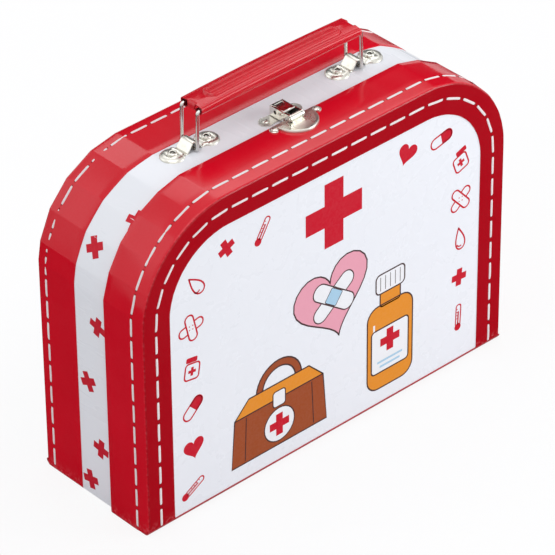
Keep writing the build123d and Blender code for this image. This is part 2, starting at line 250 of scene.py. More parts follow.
def laminatedPaper(name, look):
    # glossy laminated paper pasted on board: colour drift, faint streaks, rubbed edges, and a darker face
    # colour painted on the front and back faces as painted shade
    material, tree, shader = newMaterial(name)
    plain = objectCoords(tree)
    streaked = objectCoords(tree, stretch=look["streakStretch"])
    drift = noiseNode(tree, plain, 14, 3)
    fleck = noiseNode(tree, plain, 900, 2)
    streaks = noiseNode(tree, streaked, 60, 4, 0.6, 0.4)
    colour = ramp(tree, drift, [(0.32, look["deep"]), (0.68, look["bright"])])
    colour = mixColour(tree, mapRange(tree, fleck, 0.35, 0.7, 0.0, look["fleck"]), colour, look["rubbed"])
    # painted shade: the front and back faces take the darker face colour
    colour = mixColour(tree, attributeSocket(tree, "facePaintedShade"), colour, look["face"])
    rub = rubbedPatches(tree, plain, 420, 0.46, 0.64)
    colour = mixColour(tree, mathNode(tree, "MULTIPLY", rub, look["wear"], True), colour, look["rubbed"])
    gloss = mathNode(tree, "ADD", mapRange(tree, streaks, 0.3, 0.7, *look["roughness"]),
                     mathNode(tree, "MULTIPLY", rub, 0.25))
    feed(tree, shader, {"Base Color": colour, "Roughness": gloss, "Specular IOR Level": look["specular"]})
    waves = addBump(tree, shader, noiseNode(tree, plain, 38, 2), look["waves"])
    lines = addBump(tree, shader, streaks, look["streaks"], after=waves)
    addBump(tree, shader, noiseNode(tree, plain, 1500, 2), look["tooth"], after=lines)
    return material


redPaper = laminatedPaper("redPaper", {
    "deep": (0.60, 0.001, 0.012), "bright": (0.68, 0.002, 0.017), "rubbed": (0.80, 0.22, 0.25),
    # face: a darker red painted on the front and back faces, painted shade
    "face": (0.40, 0.001, 0.008),
    "streakStretch": (1, 0.12, 1), "roughness": (0.13, 0.20), "specular": 0.34,
    "fleck": 0.015, "wear": 0.4, "waves": 0.035, "streaks": 0.015, "tooth": 0.003,
})
whitePaper = laminatedPaper("whitePaper", {
    "deep": (0.848, 0.871, 0.928), "bright": (0.858, 0.879, 0.934), "rubbed": (0.66, 0.64, 0.62),
    "face": (0.85, 0.87, 0.925),
    "streakStretch": (1, 0.15, 1), "roughness": (0.24, 0.32), "specular": 0.3,
    "fleck": 0.008, "wear": 0.3, "waves": 0.003, "streaks": 0.0015, "tooth": 0.002,
})


def rawBoard():
    # pressed grey-brown board, seen only where a sheet leaves it bare
    material, tree, shader = newMaterial("rawBoard")
    plain = objectCoords(tree)
    fibres = noiseNode(tree, objectCoords(tree, stretch=(1, 6, 1)), 220, 5, 0.65)
    colour = ramp(tree, fibres, [(0.3, (0.30, 0.22, 0.14)), (0.7, (0.47, 0.37, 0.26))])
    feed(tree, shader, {"Base Color": colour, "Roughness": 0.9})
    addBump(tree, shader, noiseNode(tree, plain, 800, 4), 0.06)
    return material


def liningPaper():
    # matt cream paper inside the case, faintly fibrous
    material, tree, shader = newMaterial("liningPaper")
    plain = objectCoords(tree)
    fibre = noiseNode(tree, plain, 420, 5, 0.6)
    tone = driftTone(tree, plain, 9, 3, (0.79, 0.76, 0.70), (0.86, 0.84, 0.79))
    tone = mixColour(tree, mapRange(tree, fibre, 0.35, 0.7, 0, 0.25), tone, (0.66, 0.62, 0.55))
    feed(tree, shader, {"Base Color": tone, "Roughness": mapRange(tree, fibre, 0.3, 0.7, 0.62, 0.8)})
    addBump(tree, shader, fibre, 0.03)
    return material


def bookCloth():
    # woven hinge cloth: two crossed sets of threads under red size
    material, tree, shader = newMaterial("bookCloth")
    plain = objectCoords(tree)
    threads = []
    for turn in (0, math.pi / 2):
        wave = tree.nodes.new("ShaderNodeTexWave")
        turned = objectCoords(tree, turn=(0, 0, turn))
        feed(tree, wave, {"Vector": turned, "Scale": 380, "Distortion": 1.2, "Detail": 1})
        threads.append(wave.outputs["Fac"])
    weave = mathNode(tree, "MAXIMUM", *threads)
    tone = driftTone(tree, plain, 18, 4, (0.40, 0.004, 0.014), (0.55, 0.008, 0.022))
    tone = mixColour(tree, mapRange(tree, weave, 0.2, 1.0, 0.3, 0.0), tone, (0.20, 0.002, 0.008))
    feed(tree, shader, {"Base Color": tone, "Roughness": 0.62, "Sheen Weight": 0.15})
    addBump(tree, shader, weave, 0.08)
    return material


def cottonThread():
    # pale twisted cotton with a fine fuzz
    material, tree, shader = newMaterial("cottonThread")
    plain = objectCoords(tree)
    fuzz = noiseNode(tree, plain, 1800, 4, 0.7)
    tone = driftTone(tree, plain, 40, 3, (0.80, 0.74, 0.76), (0.90, 0.87, 0.88))
    tone = mixColour(tree, mapRange(tree, fuzz, 0.3, 0.75, 0.25, 0.0), tone, (0.62, 0.46, 0.48))
    feed(tree, shader, {"Base Color": tone, "Roughness": 0.72, "Sheen Weight": 0.2})
    addBump(tree, shader, fuzz, 0.08)
    return material


def nickelPlate(name, tint, roughness):
    # stamped nickel-plated steel: tumbled haze, fine scratches, warmer low spots
    material, tree, shader = newMaterial(name)
    plain = objectCoords(tree)
    haze = noiseNode(tree, plain, 130, 5, 0.65)
    scratches = noiseNode(tree, objectCoords(tree, stretch=(1, 14, 1), turn=(0.3, 0.2, 0.5)), 700, 3, 0.6)
    tone = ramp(tree, haze, [(0.35, tint), (0.7, tuple(0.88 * part for part in tint))])
    spots = mapRange(tree, noiseNode(tree, plain, 420, 3), 0.55, 0.8, 0, 0.35)
    tone = mixColour(tree, spots, tone, (0.42, 0.36, 0.29))
    rough = mathNode(tree, "ADD", mapRange(tree, haze, 0.3, 0.75, *roughness),
                     mapRange(tree, scratches, 0.55, 0.75, 0.0, 0.12))
    feed(tree, shader, {"Base Color": tone, "Metallic": 1.0, "Roughness": rough})
    first = addBump(tree, shader, haze, 0.04)
    addBump(tree, shader, scratches, 0.008, after=first)
    return material


nickel = nickelPlate("nickel", (0.70, 0.69, 0.63), (0.24, 0.36))
wireSteel = nickelPlate("wireSteel", (0.66, 0.65, 0.62), (0.14, 0.26))
# painted shade: near-black steel for the eyelets' bores and the hasp's inside, where shade falls
paintedShadeSteel = nickelPlate("paintedShadeSteel", (0.09, 0.085, 0.078), (0.35, 0.6))


def redEnamel():
    # baked enamel on pressed sheet, with worn high lines
    material, tree, shader = newMaterial("redEnamel")
    plain = objectCoords(tree)
    tone = driftTone(tree, plain, 26, 3, (0.54, 0.003, 0.013), (0.64, 0.005, 0.018))
    rub = rubbedPatches(tree, plain, 300, 0.4, 0.65)
    tone = mixColour(tree, mathNode(tree, "MULTIPLY", rub, 0.12, True), tone, (0.78, 0.30, 0.30))
    gloss = mapRange(tree, noiseNode(tree, plain, 90, 4), 0.3, 0.7, 0.16, 0.26)
    feed(tree, shader, {"Base Color": tone, "Roughness": gloss, "Specular IOR Level": 0.4})
    addBump(tree, shader, noiseNode(tree, plain, 420, 3), 0.02)
    return material


def printInk(name, colour, gloss=0.32):
    # flat litho ink: slightly uneven cover, sits on the laminated sheet
    material, tree, shader = newMaterial(name)
    plain = objectCoords(tree)
    cover = noiseNode(tree, plain, 700, 3, 0.6)
    paler = tuple(part + (0.85 - part) * 0.025 for part in colour)
    tone = ramp(tree, cover, [(0.35, colour), (0.8, paler)])
    haze = mapRange(tree, noiseNode(tree, plain, 60, 3), 0.3, 0.7, gloss, gloss + 0.1)
    feed(tree, shader, {"Base Color": tone, "Roughness": haze, "Specular IOR Level": 0.2})
    addBump(tree, shader, noiseNode(tree, plain, 1500, 2), 0.003)
    return material


inks = {
    "red": printInk("inkRed", (0.60, 0.002, 0.020)),
    "pink": printInk("inkPink", (0.82, 0.36, 0.46)),
    "amber": printInk("inkAmber", (0.80, 0.28, 0.02)),
    "brown": printInk("inkBrown", (0.36, 0.075, 0.02)),
    "line": printInk("inkLine", (0.07, 0.03, 0.03)),
    "white": printInk("inkWhite", (0.86, 0.87, 0.91)),
    "blue": printInk("inkBlue", (0.40, 0.62, 0.80)),
}
boardMaterial = rawBoard()
liningMaterial = liningPaper()
clothMaterial = bookCloth()
threadMaterial = cottonThread()
enamelMaterial = redEnamel()
# painted shade: a flat dark red for the needle holes and for the inside of the hollow grip
shadeRedMaterial = printInk("paintedShadeRed", (0.24, 0.002, 0.010), 0.6)
print("materials ready")

# the case's outline, which every wall follows

lidBend = {"creases": (7, 22, 38, 54, 69, 83.5), "frontShare": 0.1, "rearShare": 1.0}
baseBend = {"creases": (3, 14.5, 33, 51, 70.5, 88), "frontShare": 0.3, "rearShare": 1.0}
roundBend = {"creases": (7, 22, 38, 54, 69, 83.5), "frontShare": 0.0, "rearShare": 0.0}


def bendShare(y, bend):
    # how strongly the board's flats show at depth y: full at the rear edge, faint in front
    if bend is baseBend:
        along = (y - case["lidRear"]) / (case["back"] - case["lidRear"])
    else:
        along = (y - case["front"]) / (case["lidRear"] - case["front"])
    along = min(max(along, 0), 1)
    return bend["frontShare"] + (bend["rearShare"] - bend["frontShare"]) * along ** 1.2


def flatReach(angle, creases):
    # distance from the round's middle to a board bent in flats, as a share of the radius
    first, last = creases[0], creases[-1]
    if angle <= first:
        return 1 / math.cos(math.radians(angle))
    if angle >= last:
        return 1 / math.cos(math.radians(90 - angle))
    for low, high in zip(creases, creases[1:]):
        if angle <= high:
            break
    lowReach = 1 / math.cos(math.radians(low)) if low == first else 1.0
    highReach = 1 / math.cos(math.radians(90 - high)) if high == last else 1.0
    over, under = math.radians(angle - low), math.radians(high - angle)
    span = lowReach * math.sin(over) + highReach * math.sin(under)
    return lowReach * highReach * math.sin(over + under) / span


def outlinePoint(place, inset, y, bend):
    # place is ("left" | "right", height), ("top", x) or ("leftArc" | "rightArc", angle from the side)
    kind, value = place
    radius = case["cornerRadius"]
    side = -1 if kind.startswith("left") else 1
    if kind in ("left", "right"):
        return side * (case["halfWide"] - inset), value
    if kind == "top":
        return value, case["tall"] - inset
    turn = math.radians(value)
    reach = radius - inset + radius * (flatReach(value, bend["creases"]) - 1) * bendShare(y, bend)
    return (side * (case["halfWide"] - radius + math.cos(turn) * reach),
            case["tall"] - radius + math.sin(turn) * reach)


def arcAngles(creases):
    # close together beside a crease, so that each flat stays flat
    angles = [0.0]
    for crease in creases:
        angles += [crease + away for away in (-1.8, -0.7, 0, 0.7, 1.8)]
    angles += [(low + high) / 2 for low, high in zip(creases, creases[1:])]
    return sorted(angle for angle in angles if angle < 89.9) + [90.0]


def wallPlaces(bend):
    # every place of the run from the left foot to the right foot
    shoulder = case["tall"] - case["cornerRadius"]
    flatHalf = case["halfWide"] - case["cornerRadius"]
    lowest = 8
    heights = [lowest + (shoulder - lowest) * n / 10 for n in range(10)]
    angles = arcAngles(bend["creases"])
    run = [("left", height) for height in heights]
    run += [("leftArc", angle) for angle in angles]
    run += [("top", -flatHalf + 2 * flatHalf * n / 10) for n in range(1, 10)]
    run += [("rightArc", angle) for angle in reversed(angles)]
    run += [("right", height) for height in reversed(heights)]
    return run


def sweepWall(bm, profile, bend, footOf, tuck=0.0, wearOf=None):
    # carries a closed (inset, depth) profile along the outline; feet are rounded in by tuck
    wear = bm.verts.layers.float.new("wear")
    facePaintedShade = bm.verts.layers.float.new("facePaintedShade")
    footWear, faceShadeReach = 0.6, 0.35
    footSteps = [(0.0, 1.0), (0.35, 0.45), (0.9, 0.12), (1.8, 0.0)]  # (lift, share of the tuck)
    rings = []

    def ring(place, footStep=None):
        made = []
        for inset, y in profile:
            used, more, rub = place, 0.0, wearOf(inset, y) if wearOf else 0.0
            if footStep is not None:
                lift, share = footStep
                used = (place[0], footOf(inset, y) + lift)
                more = tuck * share
                rub += footWear
            x, z = outlinePoint(used, inset + more, y, bend)
            vert = addVert(bm, x, y, z)
            vert[wear] = rub
            # marks the front and back faces for the painted shade of the face colour
            vert[facePaintedShade] = 1.0 if min(y - case["front"], case["back"] - y) < faceShadeReach else 0.0
            made.append(vert)
        rings.append(made)

    for step in footSteps:
        ring(("left", 0), step)
    for place in wallPlaces(bend):
        ring(place)
    for step in reversed(footSteps):
        ring(("right", 0), step)
    for first, second in zip(rings, rings[1:]):
        bridge(bm, first, second)
    capEnds(bm, rings)


def roundEdge(inset, y, radius, steps=6):
    # profile points round the edge between a wall at inset and the back face at depth y
    turns = [math.pi / 2 * n / steps for n in range(steps + 1)]
    return [(inset + radius * (1 - math.cos(turn)), y - radius * (1 - math.sin(turn))) for turn in turns]


def clothTop(depth):
    # a foot just clear of the hinge cloth, which turns up round the edge of a face
    radius = case["edgeRadius"]
    short = max(radius - depth, 0)
    rise = radius - math.sqrt(radius * radius - short * short)
    return min(rise + case["clothThick"] + case["clothGap"], case["turnUp"])


def pressedEdge(inset, y, look, thick=0.0, steps=5):
    # a front edge that the seam pulls down: a sloping strip from the seam, then a small round
    radius = look["edgeRound"] - thick
    lean, reach = look["edgeLean"], look["seamReach"]
    dip = look["seamDip"]
    points = [(inset, y - thick + reach + look["seamFade"]), (inset + dip, y - thick + reach)]
    for n in range(1, 4):
        share = n / 4
        rise = y + radius + (reach - thick - radius) * (1 - share)
        points.append((inset + dip + (lean - dip) * share, rise))
    for n in range(steps + 1):
        turn = math.pi / 2 * n / steps
        points.append((inset + lean + radius * (1 - math.cos(turn)), y + radius * (1 - math.sin(turn))))
    return points


def panel(bm, inset, yLow, yHigh, foot, bend, y):
    # a flat panel with the case's outline at one inset
    places = [("left", foot)] + wallPlaces(bend) + [("right", foot)]
    points = [outlinePoint(place, inset, y, bend) for place in places]
    loops = [[addVert(bm, x, depth, z) for x, z in points] for depth in (yLow, yHigh)]
    bridge(bm, *loops)
    capEnds(bm, loops)


def addBox(bm, xLow, xHigh, yLow, yHigh, zLow, zHigh):
    corners = [addVert(bm, x, y, z) for x in (xLow, xHigh) for y in (yLow, yHigh) for z in (zLow, zHigh)]
    for face in ((0, 1, 3, 2), (4, 6, 7, 5), (0, 4, 5, 1), (2, 3, 7, 6), (0, 2, 6, 4), (1, 5, 7, 3)):
        bm.faces.new([corners[n] for n in face])


# lid

lidShell = {
    "turnIn": 3.0,        # red paper folded over the rear edge and glued inside
    "rearSoft": 0.25,
    "tuck": 0.3,          # how far the feet are rounded in
    "boardBack": 1.3,     # the bottom board stays this far behind the paper
    "edgeRound": 1.3,
    "edgeLean": 0.7,      # the strip outside the seam slopes down by this much
    "seamReach": 8.0,     # wall seam, in from the front face
    "seamDip": 0.1,
    "seamFade": 0.8,      # the wall is flat again this far behind its seam
    "grooveHalf": 1.0,
    "grooveDeep": 0.08,   # the face seam draws the paper down
    "foldSoft": 0.15,
    "foldThick": 0.18,
    "rubReach": 0.9,
    "frontRub": 0.45,
    "rearRub": 0.12,
    "boardShort": 2.6,    # the bottom board ends this far behind the front face
    "liningLap": 0.4,     # the lining laps over the paper folded in
    "liningShort": 0.3,
    "liningSink": 0.1,    # the tray's corners overlap by this much
}


def depthSteps(start, end, count):
    return [start + (end - start) * n / count for n in range(1, count)]


def buildLid():
    front, rear = case["front"], case["lidRear"]
    paper, radius = case["paper"], case["edgeRadius"]
    wall = paper + case["board"] + case["lining"]
    soft, gap = lidShell["rearSoft"], case["glueGap"]
    turnIn, foldSoft, foldIn = rear - lidShell["turnIn"], lidShell["foldSoft"], wall - lidShell["foldThick"]
    seam, groove = case["faceSeam"], lidShell["grooveHalf"]
    seamEnd = front + lidShell["seamReach"] + lidShell["seamFade"]
    bm = bmesh.new()
    profile = [(case["border"], front), (seam + groove, front)]
    profile += [(seam, front + lidShell["grooveDeep"]), (seam - groove, front)]
    profile += list(reversed(pressedEdge(0, front, lidShell)))
    profile += [(0, y) for y in depthSteps(seamEnd, rear - soft, 5)]
    profile += [(0, rear - soft), (0.3 * soft, rear - 0.3 * soft), (soft, rear)]
    profile += [(wall - foldSoft, rear), (wall, rear - foldSoft), (wall, turnIn)]
    profile += [(foldIn, turnIn), (foldIn, rear - paper), (paper, rear - paper)]
    profile += [(paper, y) for y in reversed(depthSteps(seamEnd, rear - paper, 5))]
    profile += pressedEdge(paper, front + paper, lidShell, paper)
    profile += [(inset, front + paper) for inset in (seam - groove, seam, seam + groove, case["border"])]

    def foot(inset, y):
        if inset <= paper and y > front + case["footRise"]:
            return 0.0
        return clothTop(y - front) if y < front + lidShell["seamReach"] else case["turnUp"]

    def wear(inset, y):
        # the rim behind, and the pressed edge in front
        reach = lidShell["rubReach"]
        rearRub = max(0, 1 - abs(y - rear) / reach) if inset < 1 else 0
        frontRub = max(0, 1 - math.hypot(inset - 1.1, y - front - 0.4) / reach)
        return max(lidShell["rearRub"] * rearRub, lidShell["frontRub"] * frontRub)

    sweepWall(bm, profile, lidBend, foot, lidShell["tuck"], wear)
    piece = makeObject("lidPaper", bm, [redPaper])
    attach(piece, "lid")
    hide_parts("lid_binding")

    # wall board under the paper, open at the foot where the bottom board closes it
    bm = bmesh.new()
    boardOut, boardIn = paper + gap, wall - case["lining"] - gap
    faceRear = front + paper + case["board"]
    profile = list(reversed(pressedEdge(boardOut, front + paper + gap, lidShell, paper)))
    profile += [(boardOut + gap, y) for y in depthSteps(seamEnd, rear - paper, 5)]
    profile += [(boardOut + gap, rear - paper - gap), (boardIn, rear - paper - gap)]
    profile += [(boardIn, y) for y in reversed(depthSteps(faceRear, rear - paper, 6))]
    profile += [(boardIn, faceRear), (radius, faceRear)]
    bottomTop = paper + case["board"]
    sweepWall(bm, profile, lidBend, lambda inset, y: bottomTop)
    halfIn = case["halfWide"] - boardOut - lidShell["boardBack"]
    addBox(bm, -halfIn, halfIn, front + lidShell["boardShort"], rear - gap, paper + gap, bottomTop - gap)
    piece = makeObject("lidWallBoard", bm, [boardMaterial])
    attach(piece, "lid")
    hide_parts("lid_wall_board")

    # lining: a tray pasted on the walls, the front board and the bottom
    bm = bmesh.new()
    liningOut = wall - case["lining"]
    trayFront = front + wall
    depths = depthSteps(trayFront, turnIn + lidShell["liningLap"], 6) + [turnIn + lidShell["liningLap"]]
    profile = [(liningOut, trayFront - case["lining"])] + [(liningOut, y) for y in depths]
    profile += [(wall - gap, y) for y in reversed(depths)] + [(wall - gap, trayFront)]
    sweepWall(bm, profile, lidBend, lambda inset, y: wall)
    tray = wall - lidShell["liningSink"]
    panel(bm, tray, trayFront - case["lining"], trayFront, bottomTop, lidBend, front)
    innerHalf = case["halfWide"] - tray
    addBox(bm, -innerHalf, innerHalf, trayFront, rear - lidShell["liningShort"], bottomTop, wall)
    piece = makeObject("lidLining", bm, [liningMaterial])
    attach(piece, "lid")
    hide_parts("lid_lining")


buildLid()
print("lid shell built")

# base

baseShell = {
    "rimSoft": 0.25,
    "wrapIn": 6.0,         # white paper folded over the lip and glued inside
    "wrapThick": 0.4,
    "hingeGap": 0.4,       # between the two bottom boards
    "lipFoot": 2.7,        # the lip clears the lid's bottom board and lining
    "bandSoft": 0.25,      # the red band's front edge
    "bandLean": 0.12,
    "tuck": 0.3,
    "coverTuck": 0.12,
    "boardBack": 1.0,
    "boardShort": 2.6,
    "boardGap": 0.03,
    "rubPlace": 0.9,       # middle of the rubbed back edge, in from the wall and the face
    "rubReach": 1.4,
    "edgeRub": 0.6,
    "seamReach": 7.3,      # wall seam, in from the back face
    "liningSink": 0.1,
}


def buildBase():
    back, lip, seamY = case["back"], case["lipFront"], case["lidRear"] + baseShell["hingeGap"]
    paper, radius, gap = case["paper"], case["edgeRadius"], case["glueGap"]
    out, cover = case["baseInset"], case["coverInset"]
    boardOut = out + paper
    boardIn = boardOut + case["board"]
    wall = boardIn + case["lining"]
    bandFront = case["bandFront"]
    boardRear = back - paper - case["board"]
    bottomTop = paper + case["board"]

    def foot(low):
        # the lip's foot stands clear of the lid, and the rest goes down to the height low
        return lambda inset, y: baseShell["lipFoot"] + max(low - bottomTop, 0) if y < seamY else low

    # red band with the back face's border
    bm = bmesh.new()
    bandSoft = bandFront + baseShell["bandSoft"]
    profile = [(case["border"], back), (case["border"] * 0.6, back)]
    profile += list(reversed(roundEdge(out, back, radius)))
    profile += [(out, y) for y in depthSteps(back - radius, bandSoft + 0.05, 6)]
    profile += [(out, bandSoft), (out + baseShell["bandLean"], bandFront), (boardOut - gap, bandFront)]
    profile += [(boardOut - gap, y) for y in reversed(depthSteps(back - radius, bandFront, 6))]
    profile += roundEdge(boardOut, back - paper, radius - paper)
    profile += [(case["border"], back - paper)]

    def bandFoot(inset, y):
        if inset <= boardOut and y < back - case["footRise"]:
            return 0.0
        return clothTop(back - y) if y > back - radius else case["turnUp"]

    def wear(inset, y):
        place = baseShell["rubPlace"]
        away = math.hypot(inset - out - place, back - place - y)
        return baseShell["edgeRub"] * max(0, 1 - away / baseShell["rubReach"])

    sweepWall(bm, profile, baseBend, bandFoot, baseShell["tuck"], wear)
    piece = makeObject("basePaper", bm, [redPaper])
    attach(piece, "base")
    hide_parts("base_binding")

    # white paper round the lip and the walls in front of the band
    bm = bmesh.new()
    inner, rimSoft = wall - gap, lip + baseShell["rimSoft"]
    wrapIn, wrapEnd = boardIn + gap, lip + baseShell["wrapIn"]
    boardLip = lip + baseShell["wrapThick"]
    depths = depthSteps(lip, seamY, 3) + [seamY - 0.03, seamY + 0.03] + depthSteps(seamY, bandFront, 6)
    profile = [(boardOut, bandFront), (cover, bandFront)] + [(cover, y) for y in reversed(depths)]
    profile += [(cover, rimSoft), (cover + 0.2, lip), (inner - 0.2, lip), (inner, rimSoft)]
    profile += [(inner, wrapEnd), (wrapIn, wrapEnd), (wrapIn, boardLip), (boardOut, boardLip)]
    profile += [(boardOut, y) for y in depths]
    sweepWall(bm, profile, baseBend, foot(0.0), baseShell["coverTuck"])
    piece = makeObject("wallCoverPaper", bm, [whitePaper])
    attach(piece, "base")
    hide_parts("base_wall_cover")

    # board of the walls and the bottom
    bm = bmesh.new()
    boardBack, boardTop = back - paper - gap, boardOut + baseShell["boardGap"]
    start = boardLip + 0.05
    depths = [start] + depthSteps(start, bandFront, 8)
    depths += [bandFront] + depthSteps(bandFront, back - radius, 6)
    profile = [(boardIn - gap, boardRear)] + [(boardIn - gap, y) for y in reversed(depths)]
    profile += [(boardTop, y) for y in depths] + roundEdge(boardTop, boardBack, radius - paper)
    profile += [(out + radius, boardRear)]
    sweepWall(bm, profile, baseBend, foot(bottomTop))
    halfIn = case["halfWide"] - boardOut - baseShell["boardBack"]
    addBox(bm, -halfIn, halfIn, seamY, back - baseShell["boardShort"], paper + gap, bottomTop - gap)
    piece = makeObject("baseWallBoard", bm, [boardMaterial])
    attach(piece, "base")
    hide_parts("base_wall_board")

    # board of the back, cut to the same bent outline
    bm = bmesh.new()
    panel(bm, boardIn + 0.1, boardRear + gap, boardBack, bottomTop, baseBend, back)
    piece = makeObject("baseBackBoard", bm, [boardMaterial])
    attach(piece, "base")
    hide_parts("base_back_board")

    # lining: a tray pasted on the walls, the back board and the bottom
    bm = bmesh.new()
    trayBack, trayTop = boardRear - case["lining"], bottomTop + case["lining"]
    start = wrapEnd - baseShell["wrapThick"]
    depths = [start] + depthSteps(start, trayBack, 10)
    profile = [(boardIn, boardRear)] + [(boardIn, y) for y in reversed(depths)]
    profile += [(wall - 2 * gap, y) for y in depths] + [(wall - 2 * gap, trayBack)]
    sweepWall(bm, profile, baseBend, foot(trayTop))
    tray = wall - baseShell["liningSink"]
    panel(bm, tray, trayBack, boardRear - baseShell["boardGap"], bottomTop, baseBend, back)
    innerHalf = case["halfWide"] - tray
    addBox(bm, -innerHalf, innerHalf, seamY + 0.2, trayBack, bottomTop, trayTop)
    piece = makeObject("baseLining", bm, [liningMaterial])
    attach(piece, "base")
    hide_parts("base_lining")


buildBase()
print("base shell built")

# hinge cloth: one strip under both halves

hingeCloth = {
    "thick": case["clothThick"],
    "bend": 1.6,           # half the width of the fold, either side of the hinge line
    "columns": 40,
    "turnSteps": 6,
    "foldSteps": 12,
    "flatStep": 12,
    "lidGap": 0.04,        # its side edges, in from the binding papers
    "baseGap": 0.02,
    "rub": 0.5,
}


def buildHingeCloth():
    radius, step, steps = case["edgeRadius"], hingeCloth["flatStep"], hingeCloth["turnSteps"]
    front, back, fold = case["front"], case["back"], case["lidRear"]
    # its outer side in section, from the turn-up behind to the turn-up in front
    turns = [math.acos(1 - case["turnUp"] / radius) * n / steps for n in range(steps + 1)]
    turnUp = [(radius * (1 - math.sin(turn)), radius * (1 - math.cos(turn))) for turn in turns]
    outer = [(back - away, z) for away, z in reversed(turnUp)]
    outer += [(y, 0) for y in (back - step, back - 2 * step, fold + step / 2)]
    for n in range(hingeCloth["foldSteps"] + 1):
        outer.append((fold + hingeCloth["bend"] * (1 - 2 * n / hingeCloth["foldSteps"]), 0))
    outer += [(fold - step / 2, 0), (front + step, 0)]
    outer += [(front + away, z) for away, z in turnUp]
    inner = []
    for y, z in outer:
        middle = min(max(y, front + radius), back - radius)
        away = Vector((middle - y, radius - z)).normalized() * hingeCloth["thick"]
        inner.append((y + away.x, z + away.y))
    loop = outer + list(reversed(inner))
    bm = bmesh.new()
    wear = bm.verts.layers.float.new("wear")
    rings = []
    for n in range(hingeCloth["columns"] + 1):
        share = -1 + 2 * n / hingeCloth["columns"]
        ring = []
        for y, z in loop:
            side = case["baseInset"] + hingeCloth["baseGap"] if y > fold else hingeCloth["lidGap"]
            vert = addVert(bm, share * (case["halfWide"] - case["paper"] - side), y, z)
            vert[wear] = hingeCloth["rub"]
            ring.append(vert)
        rings.append(ring)
    for first, second in zip(rings, rings[1:]):
        bridge(bm, first, second)
    # both ends in quads, because the cloth is wider under the lid than under the base
    for ring in (rings[0], rings[-1]):
        gridFaces(bm, [ring[:len(outer)], list(reversed(ring[len(outer):]))])
    piece = makeObject("hingeCloth", bm, [clothMaterial])
    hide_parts("base_hinge_sheet", "lid_hinge_sheet")
    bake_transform(piece)


buildHingeCloth()
print("hinge cloth built")

# stitching

stitch = {
    "pitch": 13.2,
    "length": 10.6,
    "halfWide": 0.72,
    "endWide": 0.7,        # share of its width at both ends
    "high": 0.38,
    "bed": 0.02,           # sunk into the paper
    "bow": 0.12,           # how far it may stray sideways
    "twists": 5,
    "twistDeep": 0.16,
    "steps": 14,
    "around": 8,
    "foot": 1.5,
    "hole": 0.5,
    "holeLong": 0.8,       # share of its width
    "holeOut": 0.2,
    "holeLift": 0.015,
}


def runPlace(along, inset):
    # the outline's place at a length along the run that starts at the left foot
    side = case["tall"] - case["cornerRadius"] - stitch["foot"]
    arc = math.pi / 2 * (case["cornerRadius"] - inset)
    top = 2 * (case["halfWide"] - case["cornerRadius"])
    if along < side:
        return "left", stitch["foot"] + along
    along -= side
    if along < arc:
        return "leftArc", 90 * along / arc
    along -= arc
    if along < top:
        return "top", along - top / 2
    along -= top
    if along < arc:
        return "rightArc", 90 - 90 * along / arc
    return "right", stitch["foot"] + side - (along - arc)


def runLength(inset):
    side = case["tall"] - case["cornerRadius"] - stitch["foot"]
    top = 2 * (case["halfWide"] - case["cornerRadius"])
    return 2 * side + math.pi * (case["cornerRadius"] - inset) + top


def sewStitch(bm, start, end, out, seed, holeIndex):
    # one stitch of soft twisted thread that dives into the paper at both ends
    random.seed(seed)
    axis = end - start
    ahead = axis.normalized()
    sideways = ahead.cross(out)
    steps, around = stitch["steps"], stitch["around"]
    bow = random.uniform(-stitch["bow"], stitch["bow"])
    phase = random.uniform(0, 6.28)
    rings = []
    for n in range(steps + 1):
        t = n / steps
        rise = 1 - abs(2 * t - 1) ** 9
        wide = stitch["halfWide"] * (stitch["endWide"] + (1 - stitch["endWide"]) * rise)
        centre = start + axis * t + sideways * bow * math.sin(math.pi * t)
        ring = []
        for k in range(around + 1):
            a = math.pi * k / around
            twist = 0.5 + 0.5 * math.cos(2 * math.pi * stitch["twists"] * t + a + phase)
            high = math.sin(a) * stitch["high"] * rise * (1 - stitch["twistDeep"] * twist) - stitch["bed"]
            ring.append(addVert(bm, *(centre + sideways * math.cos(a) * wide + out * high)))
        rings.append(ring)
    for first, second in zip(rings, rings[1:]):
        bridge(bm, first, second)
    capEnds(bm, rings)
    # needle holes just beyond both ends: flat discs in painted shade
    for tip, way in ((start, -1), (end, 1)):
        middle = tip + ahead * way * stitch["holeOut"] + out * stitch["holeLift"]
        rim = []
        for u, v in circlePoints(stitch["hole"], 10):
            rim.append(addVert(bm, *(middle + ahead * u * stitch["holeLong"] + sideways * v)))
        bm.faces.new(rim).material_index = holeIndex


def sewSeam(name, node, body, inset, y, bend, faceWay=0):
    # faceWay is -1 on the front face, 1 on the back face and 0 on a wall
    bm = bmesh.new()
    total = runLength(inset)
    count = round(total / stitch["pitch"])
    for number in range(count):
        middle = (number + 0.5) / count * total
        ends = []
        for way in (-1, 1):
            place = runPlace(middle + way * stitch["length"] / 2, inset)
            x, z = outlinePoint(place, inset, y, roundBend if faceWay else bend)
            ends.append(Vector((x, y, z)))
        start, end = ends
        along = (end - start).normalized()
        out = Vector((0, faceWay, 0)) if faceWay else Vector((-along.z, 0, along.x))
        sewStitch(bm, start, end, out, number + round(inset * 10) + round(y * 10), 1)
    piece = makeObject(name, bm, [threadMaterial, shadeRedMaterial], 50)
    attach(piece, body)
    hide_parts(node)


lidSeam, baseSeam = case["front"] + lidShell["seamReach"], case["back"] - baseShell["seamReach"]
sewSeam("lidFaceStitches", "lid_face_stitching", "lid", case["faceSeam"], case["front"], lidBend, -1)
sewSeam("lidWallStitches", "lid_wall_stitching", "lid", 0.0, lidSeam, lidBend)
sewSeam("baseFaceStitches", "base_face_stitching", "base", case["faceSeam"], case["back"], baseBend, 1)
sewSeam("baseWallStitches", "base_wall_stitching", "base", case["baseInset"], baseSeam, baseBend)
print("seams sewn")

# printed front sheet

